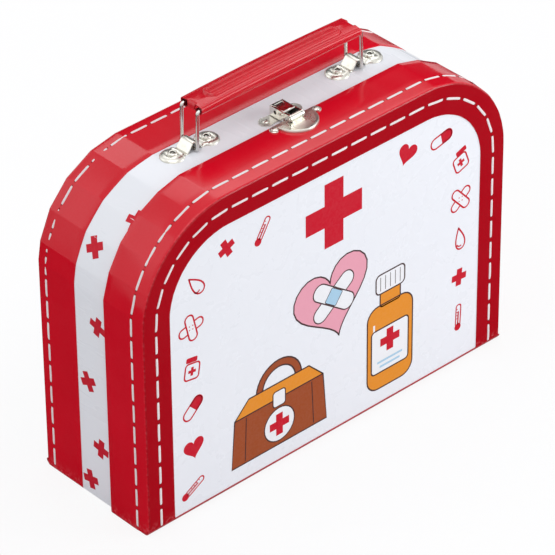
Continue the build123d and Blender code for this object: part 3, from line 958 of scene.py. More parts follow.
frontPrint = {
    "lift": 0.03,          # first ink layer above the sheet
    "layer": 0.012,        # each later layer above the one before
    "crossSize": 38.7, "crossArm": 13.0, "crossAt": (3.2, 137.4),
    "rowInset": 32.0,      # the border motifs' line, in from the outline
    "rowStart": 14.0, "rowStep": 24.6, "rowEnd": 8.0,
    "rowGap": 34.0, "rowTop": 110.0,   # no motif this near the cross, above this height
    "turnStep": 47, "turnRange": 60,   # each motif is turned by another angle
    "line": 0.95,
}
inkOrder = ["red", "pink", "amber", "brown", "line", "white", "blue"]


def plusShape(size, arm):
    # three corners, and each later one a quarter turn on from the third before it
    points = [(-arm / 2, -size / 2), (arm / 2, -size / 2), (arm / 2, -arm / 2)]
    for n in range(9):
        x, z = points[-3]
        points.append((-z, x))
    return points


def ovalShape(wide, high, start=0, end=360, count=28):
    # a whole oval, or an open arc with one point more
    points = count if end - start == 360 else count + 1
    turns = [math.radians(start + (end - start) * n / count) for n in range(points)]
    return [(wide / 2 * math.cos(a), high / 2 * math.sin(a)) for a in turns]


def roundBox(wide, high, radius, count=6):
    points = []
    for corner, (sx, sz) in enumerate(((1, -1), (1, 1), (-1, 1), (-1, -1))):
        x, z = sx * (wide / 2 - radius), sz * (high / 2 - radius)
        for n in range(count + 1):
            a = math.radians(-90 + 90 * corner + 90 * n / count)
            points.append((x + radius * math.cos(a), z + radius * math.sin(a)))
    return points


def heartShape(wide, count=40):
    points = []
    for n in range(count):
        a = 2 * math.pi * n / count
        high = 13 * math.cos(a) - 5 * math.cos(2 * a) - 2 * math.cos(3 * a) - math.cos(4 * a)
        points.append((wide / 2 * math.sin(a) ** 3, wide / 32 * high))
    return points


def dropShape(wide, high, count=24):
    points = []
    for n in range(count):
        a = 2 * math.pi * n / count
        points.append((wide / 2 * math.sin(a) * math.sin(a / 2) ** 1.3, high / 2 * math.cos(a)))
    return points


def placed(points, x, z, turn=0.0, scale=1.0):
    c, s = math.cos(math.radians(turn)), math.sin(math.radians(turn))
    return [(x + scale * (c * u - s * v), z + scale * (s * u + c * v)) for u, v in points]


def inkDepth(layer):
    return sheetLow.y - frontPrint["lift"] - frontPrint["layer"] * layer


def inkFace(bm, points, ink, layer):
    y = inkDepth(layer)
    face = bm.faces.new([addVert(bm, x, y, z) for x, z in points])
    face.material_index = inkOrder.index(ink)


def inkLine(bm, points, ink, layer, width, closed=True):
    # a drawn line: a ribbon that follows the points
    y = inkDepth(layer)
    count = len(points)
    sides = []
    for n, (x, z) in enumerate(points):
        before = points[n - 1] if closed or n else points[n]
        after = points[(n + 1) % count] if closed or n + 1 < count else points[n]
        way = Vector((after[0] - before[0], after[1] - before[1])).normalized()
        across = Vector((-way.y, way.x)) * width / 2
        sides.append([addVert(bm, x + way * across.x, y, z + way * across.y) for way in (1, -1)])
    last = count if closed else count - 1
    for n in range(last):
        a, b = sides[n], sides[(n + 1) % count]
        face = bm.faces.new((a[0], b[0], b[1], a[1]))
        face.material_index = inkOrder.index(ink)


def outlined(bm, points, ink, layer, width=0.85, line="line"):
    inkFace(bm, points, ink, layer)
    inkLine(bm, points, line, layer + 1, width)


def capsuleMotif(bm, x, z, turn):
    line = frontPrint["line"]
    inkLine(bm, placed(roundBox(15, 6.4, 3.1), x, z, turn + 40), "red", 1, line)
    half = [p for p in roundBox(15, 6.4, 3.1) if p[0] > 0.1] + [(0, 3.2), (0, -3.2)]
    half.sort(key=lambda p: math.atan2(p[1], p[0] - 3))
    inkFace(bm, placed(half, x, z, turn + 40), "red", 1)


def plasterMotif(bm, x, z, turn):
    line = frontPrint["line"]
    for way, layer in ((35, 0), (125, 2)):
        strip = placed(roundBox(16, 5.4, 2.6), x, z, turn + way)
        inkFace(bm, strip, "white", layer)
        inkLine(bm, strip, "red", layer + 1, line)
    for u in (-1.1, 1.1):
        for v in (-1.1, 1.1):
            inkFace(bm, placed(ovalShape(0.8, 0.8, count=8), x + u, z + v), "red", 4)


def heartMotif(bm, x, z, turn):
    inkFace(bm, placed(heartShape(13.5), x, z, turn - 12), "red", 1)


def dropMotif(bm, x, z, turn):
    inkLine(bm, placed(dropShape(9, 14), x, z, turn + 15), "red", 1, frontPrint["line"])
    inkLine(bm, placed(ovalShape(4.6, 5.6, 200, 290, 8), x, z - 2.2, turn + 15), "red", 1, 0.8, False)


def crossMotif(bm, x, z, turn):
    inkFace(bm, placed(plusShape(10.5, 3.9), x, z, turn + 14), "red", 1)


def thermometerMotif(bm, x, z, turn):
    line = frontPrint["line"]
    inkLine(bm, placed(roundBox(13.5, 3.4, 1.6), x, z, turn + 60), "red", 1, 0.8)
    inkFace(bm, placed(ovalShape(4.6, 4.6), *placed([(-7.4, 0)], x, z, turn + 60)[0]), "red", 2)
    inkLine(bm, placed([(-6, 0), (2.5, 0)], x, z, turn + 60), "red", 2, line, False)
    for n in range(4):
        inkLine(bm, placed([(-2 + 2 * n, 0.4), (-2 + 2 * n, 1.6)], x, z, turn + 60), "red", 2, 0.4, False)


def jarMotif(bm, x, z, turn):
    line = frontPrint["line"]
    inkLine(bm, placed(roundBox(9.5, 9.5, 2), x, z - 1.8, turn), "red", 1, line)
    inkFace(bm, placed(roundBox(7.4, 3, 0.8), x, z + 5.2, turn), "red", 1)
    inkFace(bm, placed(plusShape(5, 1.7), x, z - 1.8, turn), "red", 1)


def drawBag(bm, x, z, size=1.22):
    # a plain doctor's bag with a white disc and cross
    def at(points, u=0.0, v=0.0):
        return placed(points, x + size * u, z + size * v, 0, size)

    body = [(-27, -17), (27, -17), (25, 7), (17, 15), (-17, 15), (-25, 7)]
    inkLine(bm, at(ovalShape(22, 22, 0, 180, 16), 0, 14), "line", 0, 5.2, False)
    inkLine(bm, at(ovalShape(22, 22, 0, 180, 16), 0, 14), "brown", 1, 3.4, False)
    outlined(bm, at(body), "brown", 1)
    outlined(bm, at([(-25, 7), (25, 7), (17, 15), (-17, 15)]), "amber", 2)
    outlined(bm, at(roundBox(7, 8, 1.5), 0, 7), "white", 4, 0.7)
    outlined(bm, at(ovalShape(17, 17), 0, -6.5), "white", 3, 0.7)
    inkFace(bm, at(plusShape(11, 3.8), 0, -6.5), "red", 5)
    for side in (-1, 1):
        inkLine(bm, at([(side * 19.5, -16), (side * 18.5, 6)]), "line", 3, 0.6, False)


def drawHeart(bm, x, z, size=1.2):
    # a heart with two crossed plasters
    outlined(bm, placed(heartShape(43), x, z, 10, size), "pink", 1)
    for way, layer in ((38, 3), (-36, 6)):
        outlined(bm, placed(roundBox(27, 8.4, 4), x + 1, z - 1, way, size), "white", layer, 0.7)
        outlined(bm, placed(roundBox(7.5, 7.4, 0.8), x + 1, z - 1, way, size), "blue", layer + 1, 0.45)


def drawBottle(bm, x, z, size=1.2):
    # a medicine bottle with a ribbed cap and a plain label
    def at(points, u=0.0, v=0.0):
        return placed(points, x + size * u, z + size * v, 0, size)

    outlined(bm, at(roundBox(27, 44, 6.5)), "amber", 1)
    outlined(bm, at(roundBox(12, 9, 1.5), 0, 25.5), "amber", 0)
    outlined(bm, at(roundBox(17, 10, 2.4), 0, 33), "white", 3)
    for n in range(-2, 3):
        inkLine(bm, at([(n * 2.9, -3.6), (n * 2.9, 3.6)], 0, 33), "line", 5, 0.4, False)
    outlined(bm, at(roundBox(22, 23, 2), 0, -2), "white", 3)
    inkFace(bm, at(plusShape(11.5, 4), 0, 2), "red", 5)
    for n, width in enumerate((15, 12)):
        inkLine(bm, at([(-width / 2, 0), (width / 2, 0)], 0, -8 - 2.6 * n), "blue", 5, 1.3, False)
    inkLine(bm, at([(-9.5, 13), (-9.5, -12)]), "white", 2, 1.3, False)


def printFront():
    bm = bmesh.new()
    cross = plusShape(frontPrint["crossSize"], frontPrint["crossArm"])
    inkFace(bm, placed(cross, *frontPrint["crossAt"]), "red", 1)
    drawBag(bm, -35, 33)
    drawHeart(bm, 2, 87)
    drawBottle(bm, 43, 38)
    inset = frontPrint["rowInset"]
    motifs = [thermometerMotif, heartMotif, capsuleMotif, jarMotif, plasterMotif, dropMotif, crossMotif]
    total = runLength(inset)
    along = frontPrint["rowStart"]
    number = 0
    while along < total - frontPrint["rowEnd"]:
        place = runPlace(along, inset)
        x, z = outlinePoint(place, inset, sheetLow.y, roundBend)
        if abs(x - frontPrint["crossAt"][0]) >= frontPrint["rowGap"] or z <= frontPrint["rowTop"]:
            turn = number * frontPrint["turnStep"] % frontPrint["turnRange"] - frontPrint["turnRange"] / 2
            motifs[number % len(motifs)](bm, x, z, turn)
            number += 1
        along += frontPrint["rowStep"]
    for face in bm.faces:
        face.normal_update()
        if face.normal.y > 0:
            face.normal_flip()
    mesh = bpy.data.meshes.new("frontPrint")
    bm.to_mesh(mesh)
    bm.free()
    for ink in inkOrder:
        mesh.materials.append(inks[ink])
    piece = addToScene("frontPrint", mesh)
    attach(piece, "lid")


printFront()

# plain crosses printed on the white walls of the base: (length along the run, depth, turn)
wallCrosses = {
    "size": 11.4, "arm": 4.2, "lift": 0.03, "cells": 3,
    "left": [(8, 5.5, 12), (32, -3.5, -8), (70, 4.5, 24), (108, -4.5, -14), (150, 3.5, 32), (172, -12, 8)],
    "right": [(10, -4.0, 20), (44, 4.5, -12), (80, -3.5, 6), (116, 5.0, -26), (152, -5.0, 14)],
}


def printWallCrosses():
    bm = bmesh.new()
    inset = case["coverInset"] - wallCrosses["lift"]
    arm, half, cells = wallCrosses["arm"] / 2, wallCrosses["size"] / 2, wallCrosses["cells"]
    # the middle and the four arms: low and high along, low and high across
    blocks = [(-arm, arm, -arm, arm), (arm, half, -arm, arm), (-half, -arm, -arm, arm),
              (-arm, arm, arm, half), (-arm, arm, -half, -arm)]
    total = runLength(inset)
    for side in ("left", "right"):
        for along, depth, turn in wallCrosses[side]:
            middle = along if side == "left" else total - along
            c, s = math.cos(math.radians(turn)), math.sin(math.radians(turn))
            for uLow, uHigh, vLow, vHigh in blocks:
                grid = []
                for i in range(cells + 1):
                    row = []
                    for j in range(cells + 1):
                        u, v = uLow + (uHigh - uLow) * i / cells, vLow + (vHigh - vLow) * j / cells
                        y = depth + s * u + c * v
                        x, z = outlinePoint(runPlace(middle + c * u - s * v, inset), inset, y, baseBend)
                        row.append(addVert(bm, x, y, z))
                    grid.append(row)
                gridFaces(bm, grid)
    bmesh.ops.remove_doubles(bm, verts=bm.verts[:], dist=0.001 * mm)
    piece = makeObject("wallCrosses", bm, [inks["red"]])
    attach(piece, "base")


printWallCrosses()
print("print laid on the paper")

# handle grip: pressed sheet with curled edges over the wire

gripLow, gripHigh = cadBox("handle_grip")
wireLow, wireHigh = cadBox("handle_wire")
grip = {
    "sheet": 0.7,
    "curl": 2.55,          # half width of the curl, to the middle of its sheet
    "curlHigh": 2.35,
    "curlIn": 0.7,         # the curl's middle lies this much inside the wire
    "curlDrop": 1.85,
    "curlStart": 15,       # the curl's edge, in degrees under its inner side
    "curlSteps": 16,
    "wall": 3.1,           # middle of the top sheet above the wire
    "shoulder": 1.0,       # radius between a side and the top
    "flatIn": 1.3,
    "flatSteps": 46,
    "crown": 0.6,
    "arch": 0.9,           # the ends of the top lie this much lower than its middle
    "endRoll": 2.0,        # radius of the rolled ends
    "endDrop": 1.6,        # how far they go on down
    "endPace": 1.6,        # the roll is over at 1 / endPace of the way, and then it goes straight down
    "endSteps": (0.1, 0.22, 0.34, 0.46, 0.625, 0.8, 1.0),
    "endIn": 2.9,          # the end rolls down between the curls
    "endBlend": 0.7,
    "ribHalf": 44.6,
    "ribWide": 7.6,
    "ribHigh": 0.75,
    "lipWide": 0.65,
    "floorIn": 1.1,
    "floorBlend": 0.6,
    "floorDeep": 0.36,
    "moatWide": 0.85,
    "moatDeep": 0.3,
    "lineHigh": 0.28,
    "linePitch": 0.95,
    "ribRub": (1.2, 0.3),  # wear for each unit of lift, less this
    "endRub": 0.8,
    # cuts along the grip: wide ones at first, fine ones over the rib's end, even ones between
    "wideStep": 1.6,
    "fineStart": 0.6,
    "fineStep": 0.32,
    "fineCount": 18,
    "middleGap": 0.8,
    "middleCount": 52,
}
grip["middle"] = ((gripLow.x + gripHigh.x) / 2, (gripLow.y + gripHigh.y) / 2)
grip["half"] = (gripHigh.x - gripLow.x) / 2
grip["wireZ"] = wireHigh.z - 1.0
grip["spread"] = (wireHigh.y - wireLow.y) / 2 - 1.0


def ribLift(x, y):
    # pressed oval: a groove round a raised lip, and a lower floor with fine lines along it
    straight = grip["ribHalf"] - grip["ribWide"] / 2
    away = math.hypot(max(abs(x) - straight, 0), y)
    deep = grip["ribWide"] / 2 - away
    if deep <= -grip["moatWide"]:
        return 0.0
    if deep <= 0:
        return -grip["moatDeep"] * math.sin(math.pi * (deep + grip["moatWide"]) / grip["moatWide"])
    lip = smoothStep(deep / grip["lipWide"])
    floor = max(0, min((deep - grip["floorIn"]) / grip["floorBlend"], 1))
    line = grip["lineHigh"] * floor * math.cos(math.pi * y / grip["linePitch"]) ** 2
    return grip["ribHigh"] * lip - grip["floorDeep"] * floor + line


def gripSection():
    # middle line of the sheet, from one curl over the top to the other: (y, z, share of top)
    curl, wall, soft, steps = grip["curl"], grip["wall"], grip["shoulder"], grip["curlSteps"]
    middleY, middleZ = grip["curlIn"] - grip["spread"], grip["curlHigh"] - grip["curlDrop"]
    side = curl - middleY
    front = []
    for n in range(steps + 1):
        a = math.radians(-grip["curlStart"] - (180 - grip["curlStart"]) * n / steps)
        front.append((middleY + curl * math.cos(a), middleZ + grip["curlHigh"] * math.sin(a), 0.0))
    front += [(-side, wall * 0.35, 0.2), (-side, wall * 0.5, 0.4), (-side + 0.08, wall - soft, 0.7)]
    for degrees in (30, 60, 90):
        a = math.radians(degrees)
        front.append((-side + soft * (1 - math.cos(a)), wall - soft * (1 - math.sin(a)), 1.0))
    flat, count = side - grip["flatIn"], grip["flatSteps"]
    top = [(-flat + 2 * flat * n / count, wall, 1.0) for n in range(count + 1)]
    return front + top + [(-y, z, share) for y, z, share in reversed(front)]


def rollTurn(end):
    # the angle that the top has turned through at this share of its end
    return math.pi / 2 * min(end * grip["endPace"], 1)


def gripPoint(section, x, end):
    # end is 0 along the grip and runs to 1 as the top rolls down over its end
    y, z, top = section
    inside = max(0.0, 1 - (y / grip["spread"]) ** 2)
    share = x / grip["half"]
    z += top * (grip["crown"] * inside - grip["arch"] * share * share)
    if top == 1.0:
        between = max(0.0, min(1.0, (grip["spread"] - grip["endIn"] - abs(y)) / grip["endBlend"]))
        straight = max(0, end * grip["endPace"] - 1) / (grip["endPace"] - 1)
        drop = grip["endRoll"] * (1 - math.cos(rollTurn(end))) + grip["endDrop"] * straight
        z += ribLift(x, y) - between * drop
    return Vector((x, y, z))


def buildGrip():
    section = gripSection()
    half = grip["half"]
    flatHalf = half - grip["endRoll"]
    start, step, count = grip["ribHalf"] + grip["fineStart"], grip["fineStep"], grip["middleCount"]
    fine = [start - step * n for n in range(grip["fineCount"])]
    left = [-flatHalf + grip["wideStep"] * n for n in range(3)] + [-u for u in fine]
    middle = [(-1 + 2 * n / count) * (fine[-1] - grip["middleGap"]) for n in range(count + 1)]
    columns = left + middle + [-u for u in reversed(left)]
    tips = [(half - grip["endRoll"] * (1 - math.sin(rollTurn(end))), end) for end in grip["endSteps"]]
    runs = [(-x, end) for x, end in reversed(tips)] + [(x, 0.0) for x in columns] + tips
    grid = [[gripPoint(place, x, end) for place in section] for x, end in runs]
    rows, cols = len(grid), len(grid[0])
    bm = bmesh.new()
    wear = bm.verts.layers.float.new("wear")
    skins = []
    for way in (1, -1):
        skin = []
        for i in range(rows):
            line = []
            for j in range(cols):
                ahead = grid[min(i + 1, rows - 1)][j] - grid[max(i - 1, 0)][j]
                around = grid[i][min(j + 1, cols - 1)] - grid[i][max(j - 1, 0)]
                p = grid[i][j] + ahead.cross(around).normalized() * way * grip["sheet"] / 2
                vert = addVert(bm, grip["middle"][0] + p.x, grip["middle"][1] + p.y, grip["wireZ"] + p.z)
                # hands rub the rib's high lines and the rolled ends
                lift = ribLift(runs[i][0], section[j][0]) if section[j][2] == 1.0 else 0
                rub = max(0.0, min(1.0, lift * grip["ribRub"][0] - grip["ribRub"][1]))
                vert[wear] = rub + (grip["endRub"] if runs[i][1] > grip["endSteps"][0] else 0.0)
                line.append(vert)
            skin.append(line)
        skins.append(skin)
    # the inner skin takes the dark red painted shade of the hollow grip's inside
    for number, skin in enumerate(skins):
        for face in gridFaces(bm, skin):
            face.material_index = number
    bridge(bm, gridRim(skins[0]), gridRim(skins[1]))
    piece = makeObject("handleGrip", bm, [enamelMaterial, shadeRedMaterial], 40)
    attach(piece, "handle")
    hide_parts("handle_grip")


buildGrip()
print("grip pressed")

# brackets and their eyelets

bracket = {
    "lobeRadius": 6.75,
    "spacing": 22.4,
    "lobeHigh": 1.85,
    "strapHalf": 4.2,
    "strapHigh": 0.95,
    "archHalf": 5.0,
    "archTop": 1.5,
    "archHigh": 5.25,
    "sheet": 0.85,
    "ridgeSoft": 0.35,     # how much the arch's flanks and ridge run into each other
    "ridgeFall": 0.12,
    "edgeFall": 0.12,
    "edgeHigh": 0.12,
    "strapEnd": 5.2,
    "strapBlend": 4.2,     # length over which the strap widens to a lobe
    "neckLong": 2.6,       # length over which the strap rises to a lobe
    "domeStart": 8,
    "skirtFall": 0.55,     # share of the height lost at the very edge
    "dishDeep": 0.45,      # a ring pressed down round the eyelet
    "dishReach": 2.9,
    "dishWide": 0.6,
    "rub": 0.3,
    # cuts in from a lobe's tip, over the arch and across the width
    "tipSteps": (0.02, 0.15, 0.4, 0.8),
    "lobeStart": 1.3,
    "lobeStep": 0.62,
    "archSteps": (5.1, 4.75, 4.3, 3.6, 2.9, 2.3, 1.9, 1.6, 1.3, 0.9, 0.45),
    "acrossSteps": (1, 0.985, 0.95, 0.88, 0.75, 0.55, 0.3),
    # the eyelet's head and its spread inner end: (radius, height)
    "eyeletHigh": 0.8,
    "eyeletHead": [(1.1, 0.1), (1.2, 0.62), (1.6, 0.8), (2.1, 0.72), (2.5, 0.4), (2.65, 0.02),
                   (2.6, -0.35), (1.45, -0.35)],
    "eyeletFoot": [(1.45, 0.25), (2.2, 0.25), (2.25, 0.05), (1.6, 0.0), (1.1, 0.2)],
}


def bracketHalfWide(u):
    # half the bracket's width at u from its middle: round lobes drawn in to a straight strap
    away = abs(u) - bracket["spacing"] / 2
    lobe = math.sqrt(max(bracket["lobeRadius"] ** 2 - away * away, 0))
    if away >= 0:
        return lobe
    share = smoothStep((abs(u) - bracket["strapEnd"]) / bracket["strapBlend"])
    return bracket["strapHalf"] * (1 - share) + lobe * share


def archHeight(u):
    # the tent over the wire: straight flanks, a narrow rounded ridge
    slope = (bracket["archHigh"] - bracket["strapHigh"]) / (bracket["archHalf"] - bracket["archTop"])
    flank = bracket["strapHigh"] + slope * (bracket["archHalf"] - abs(u))
    ridge = bracket["archHigh"] - bracket["ridgeFall"] * u * u
    soft = bracket["ridgeSoft"]
    if abs(flank - ridge) > soft:
        return min(flank, ridge)
    return (flank + ridge) / 2 - soft / 4 - (flank - ridge) ** 2 / (4 * soft)


def bracketTop(u, v):
    # v runs from -1 to 1 across the width
    if abs(u) <= bracket["archHalf"]:
        return max(archHeight(u), bracket["strapHigh"]) - bracket["edgeFall"] * abs(v) ** 8
    away = math.hypot(abs(u) - bracket["spacing"] / 2, v * bracketHalfWide(u))
    share = min(away / bracket["lobeRadius"], 1) if abs(u) > bracket["domeStart"] else 0
    dome = bracket["lobeHigh"] * math.sqrt(1 - share ** 4)
    dish = bracket["dishDeep"] * math.exp(-((away - bracket["dishReach"]) / bracket["dishWide"]) ** 2)
    neck = smoothStep((abs(u) - bracket["archHalf"]) / bracket["neckLong"])
    skirt = 1 - bracket["skirtFall"] * abs(v) ** 9
    return (bracket["strapHigh"] * (1 - neck) + dome * neck) * skirt - dish * neck


def buildBracket(node, name):
    low, high = cadBox(node)
    middleX, middleY, foot = (low.x + high.x) / 2, (low.y + high.y) / 2, low.z
    reach = bracket["spacing"] / 2 + bracket["lobeRadius"]
    left = [-reach + step for step in bracket["tipSteps"]]
    left += [-reach + bracket["lobeStart"] + bracket["lobeStep"] * n for n in range(19)]
    left = [u for u in left if u < -bracket["archHalf"] - 0.2]
    left += [-u for u in bracket["archSteps"]]
    stations = left + [0.0] + [-u for u in reversed(left)]
    shares = [-v for v in bracket["acrossSteps"]] + [0] + list(reversed(bracket["acrossSteps"]))
    bm = bmesh.new()
    wear = bm.verts.layers.float.new("wear")
    top, bottom = [], []
    for u in stations:
        half = bracketHalfWide(u)
        # the underside follows the case's corner, and leaves room for the wire under the arch
        past = max(abs(middleX + u) - case["halfWide"] + case["cornerRadius"], 0)
        under = math.sqrt(case["cornerRadius"] ** 2 - past ** 2) - case["cornerRadius"]
        if abs(u) < bracket["archHalf"] - 1.0:
            under = max(0.0, archHeight(u) - bracket["sheet"] - 0.12 * abs(u))
        upper, lower = [], []
        for v in shares:
            z = max(bracketTop(u, v), bracket["edgeHigh"])
            upper.append(addVert(bm, middleX + u, middleY + v * half, foot + z))
            lower.append(addVert(bm, middleX + u, middleY + v * half, foot + min(under, z - 0.1)))
            upper[-1][wear] = bracket["rub"]
        top.append(upper)
        bottom.append(lower)
    gridFaces(bm, top)
    gridFaces(bm, bottom)
    bridge(bm, gridRim(top), gridRim(bottom))
    bmesh.ops.remove_doubles(bm, verts=bm.verts[:], dist=0.002 * mm)
    piece = makeObject(name, bm, [nickel], 38)
    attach(piece, "base")
    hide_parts(node)


def revolve(bm, profile, x, y, z, count=28, dark=()):
    # turns a closed (radius, height) profile round an upright axis; dark lists second-material bands
    rings = []
    for u, v in circlePoints(1, count):
        rings.append([addVert(bm, x + r * u, y + r * v, z + h) for r, h in profile])
    for first, second in zip(rings, rings[1:] + rings[:1]):
        for number, face in enumerate(bridge(bm, first, second)):
            face.material_index = 1 if number in dark else 0


def buildEyelets():
    low, high = cadBox("bracket_rivets")
    seat = high.z - bracket["eyeletHigh"]
    inside = low.z - seat
    profile = bracket["eyeletHead"] + [(r, inside + h) for r, h in bracket["eyeletFoot"]]
    # the bore's bands take the painted shade steel
    bore = (0, len(profile) - 1)
    bm = bmesh.new()
    for node in ("bracket_left", "bracket_right"):
        left, right = cadBox(node)
        for side in (-1, 1):
            x = (left.x + right.x) / 2 + side * bracket["spacing"] / 2
            revolve(bm, profile, x, (left.y + right.y) / 2, seat, dark=bore)
    piece = makeObject("bracketEyelets", bm, [nickel, paintedShadeSteel], 50)
    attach(piece, "base")
    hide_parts("bracket_rivets")


buildBracket("bracket_left", "bracketLeft")
buildBracket("bracket_right", "bracketRight")
buildEyelets()
print("brackets set")

# latch: half-round plate, knuckle, hasp and keeper

latch = {
    "sheet": 0.8,
    "plateRadius": 12.0,
    "rimHigh": 1.5,
    "rimWide": 1.3,
    "earSpacing": 28.2,
    "earStart": 1.2,       # the ears start this far in from the half round's edge
    "knuckle": 1.8,
    "knuckleLong": 6.6,
    "knuckleBore": 0.78,
    "knuckleSoft": 0.15,
    "boreSoft": 0.1,
    "pinBack": 3.5,
    "plateInset": 0.6,
    "rub": 0.3,
    # the rolled rim: (in from the edge, down from the rim's top)
    "rimRoll": [(0.95, 0.12), (0.6, 0.0), (0.25, 0.14), (0.0, 0.55)],
    # a rivet's head and its inner end: (radius, height)
    "rivetRadius": 1.8,
    "rivetHead": [(0.02, 0.0), (0.7, -0.03), (1.3, -0.2), (1.7, -0.5), (1.8, -0.7), (0.88, -0.7)],
    "rivetFoot": [(0.88, 0.3), (1.5, 0.3), (1.5, 0.0), (0.02, 0.0)],
}
plateLow, plateHigh = cadBox("latch_plate")
haspLow, haspHigh = cadBox("latch_hasp")
latch["earRadius"] = (plateHigh.x - plateLow.x - latch["earSpacing"]) / 2
latch["x"] = (plateLow.x + plateHigh.x) / 2
latch["rivetY"] = case["lidRear"] - latch["plateInset"] - latch["earRadius"]
latch["pinY"] = case["lidRear"] - latch["pinBack"]
latch["pinZ"] = plateLow.z + latch["sheet"] + latch["knuckle"] + 0.1


def addTube(bm, x, y, z, outer, inner, length, count=24):
    # a tube along X, open right through
    half, soft, boreSoft = length / 2, latch["knuckleSoft"], latch["boreSoft"]
    end = [(outer, soft - half), (outer - soft, -half)]
    end += [(inner + boreSoft, -half), (inner, boreSoft - half)]
    section = end + [(r, -u) for r, u in reversed(end)]
    rings = []
    for v, w in circlePoints(1, count):
        rings.append([addVert(bm, x + u, y + r * v, z + r * w) for r, u in section])
    for first, second in zip(rings, rings[1:] + rings[:1]):
        bridge(bm, first, second)


def buildPlate():
    x, y, z = latch["x"], latch["rivetY"], plateLow.z
    outer, rim, sheet = latch["plateRadius"], latch["rimHigh"], latch["sheet"]
    # half round: radius and height from the middle out over the rolled rim
    flat = outer - latch["rimWide"]
    section = [(0.0, sheet), (outer * 0.5, sheet), (flat - 0.7, sheet), (flat - 0.1, sheet + 0.18)]
    section += [(outer - away, rim - down) for away, down in latch["rimRoll"]] + [(outer, 0.0)]
    bm = bmesh.new()
    wear = bm.verts.layers.float.new("wear")
    rings = []
    steps = 44
    for n in range(steps + 1):
        a = math.pi + math.pi * n / steps
        rings.append([addVert(bm, x + r * math.cos(a), y + r * math.sin(a), z + h) for r, h in section])
    gridFaces(bm, rings)
    bm.faces.new([ring[-1] for ring in rings])
    bmesh.ops.remove_doubles(bm, verts=bm.verts[:], dist=0.001 * mm)
    # straight rear part with an ear at each end
    half, ear = latch["earSpacing"] / 2, latch["earRadius"]
    left = [(-outer + latch["earStart"], -0.02), (-half, -ear)]
    for degrees in range(20, 180, 20):
        a = math.radians(degrees)
        left.append((-half - ear * math.sin(a), -ear * math.cos(a)))
    left.append((-half, ear))
    loop = left + [(-u, v) for u, v in reversed(left)]
    # (height, share of the depth) from the foot to the softened top edge
    levels = ((0.0, 1.0), (sheet * 0.65, 1.0), (sheet * 0.95, 0.93))
    layers = []
    for h, share in levels:
        along = 1 - (1 - share) * 0.25
        layers.append([addVert(bm, x + u * along, y + v * share, z + h) for u, v in loop])
    for lower, upper in zip(layers, layers[1:]):
        bridge(bm, lower, upper)
    capEnds(bm, layers)
    # central knuckle on a web
    pinY, pinZ, knuckle, long = latch["pinY"], latch["pinZ"], latch["knuckle"], latch["knuckleLong"]
    addTube(bm, x, pinY, pinZ, knuckle, latch["knuckleBore"], long)
    web = knuckle * 0.8
    addBox(bm, x - long / 2, x + long / 2, pinY - web, pinY + web, z + sheet - 0.1, pinZ - knuckle * 0.62)
    for vert in bm.verts:
        vert[wear] = latch["rub"]
    piece = makeObject("latchPlate", bm, [nickel], 34)
    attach(piece, "lid")
    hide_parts("latch_plate")


hasp = {
    "frontGap": 0.8,       # the box starts this far behind the lid
    "edgeSoft": 0.1,
    "underDrop": 0.3,
    # the sloping frame round the sunk panel: (in from the edge, down from the top)
    "frame": [(0.1, 0.5), (0.75, 0.06), (1.15, 0.0), (1.65, 0.05), (1.95, 0.32)],
    "cheekDrop": 0.45,     # the cheeks end under the frame
    "hole": 1.1,
    "holeIn": 4.0,
    "eye": 0.8,
    "disc": 1.3,           # painted shade: a dark disc that closes a cheek's hole from inside
    "discGap": 0.03,
    "discThick": 0.1,
}


def boxRing(bm, x, half, low, high, z):
    return [addVert(bm, x + u, v, z) for u, v in ((-half, low), (half, low), (half, high), (-half, high))]


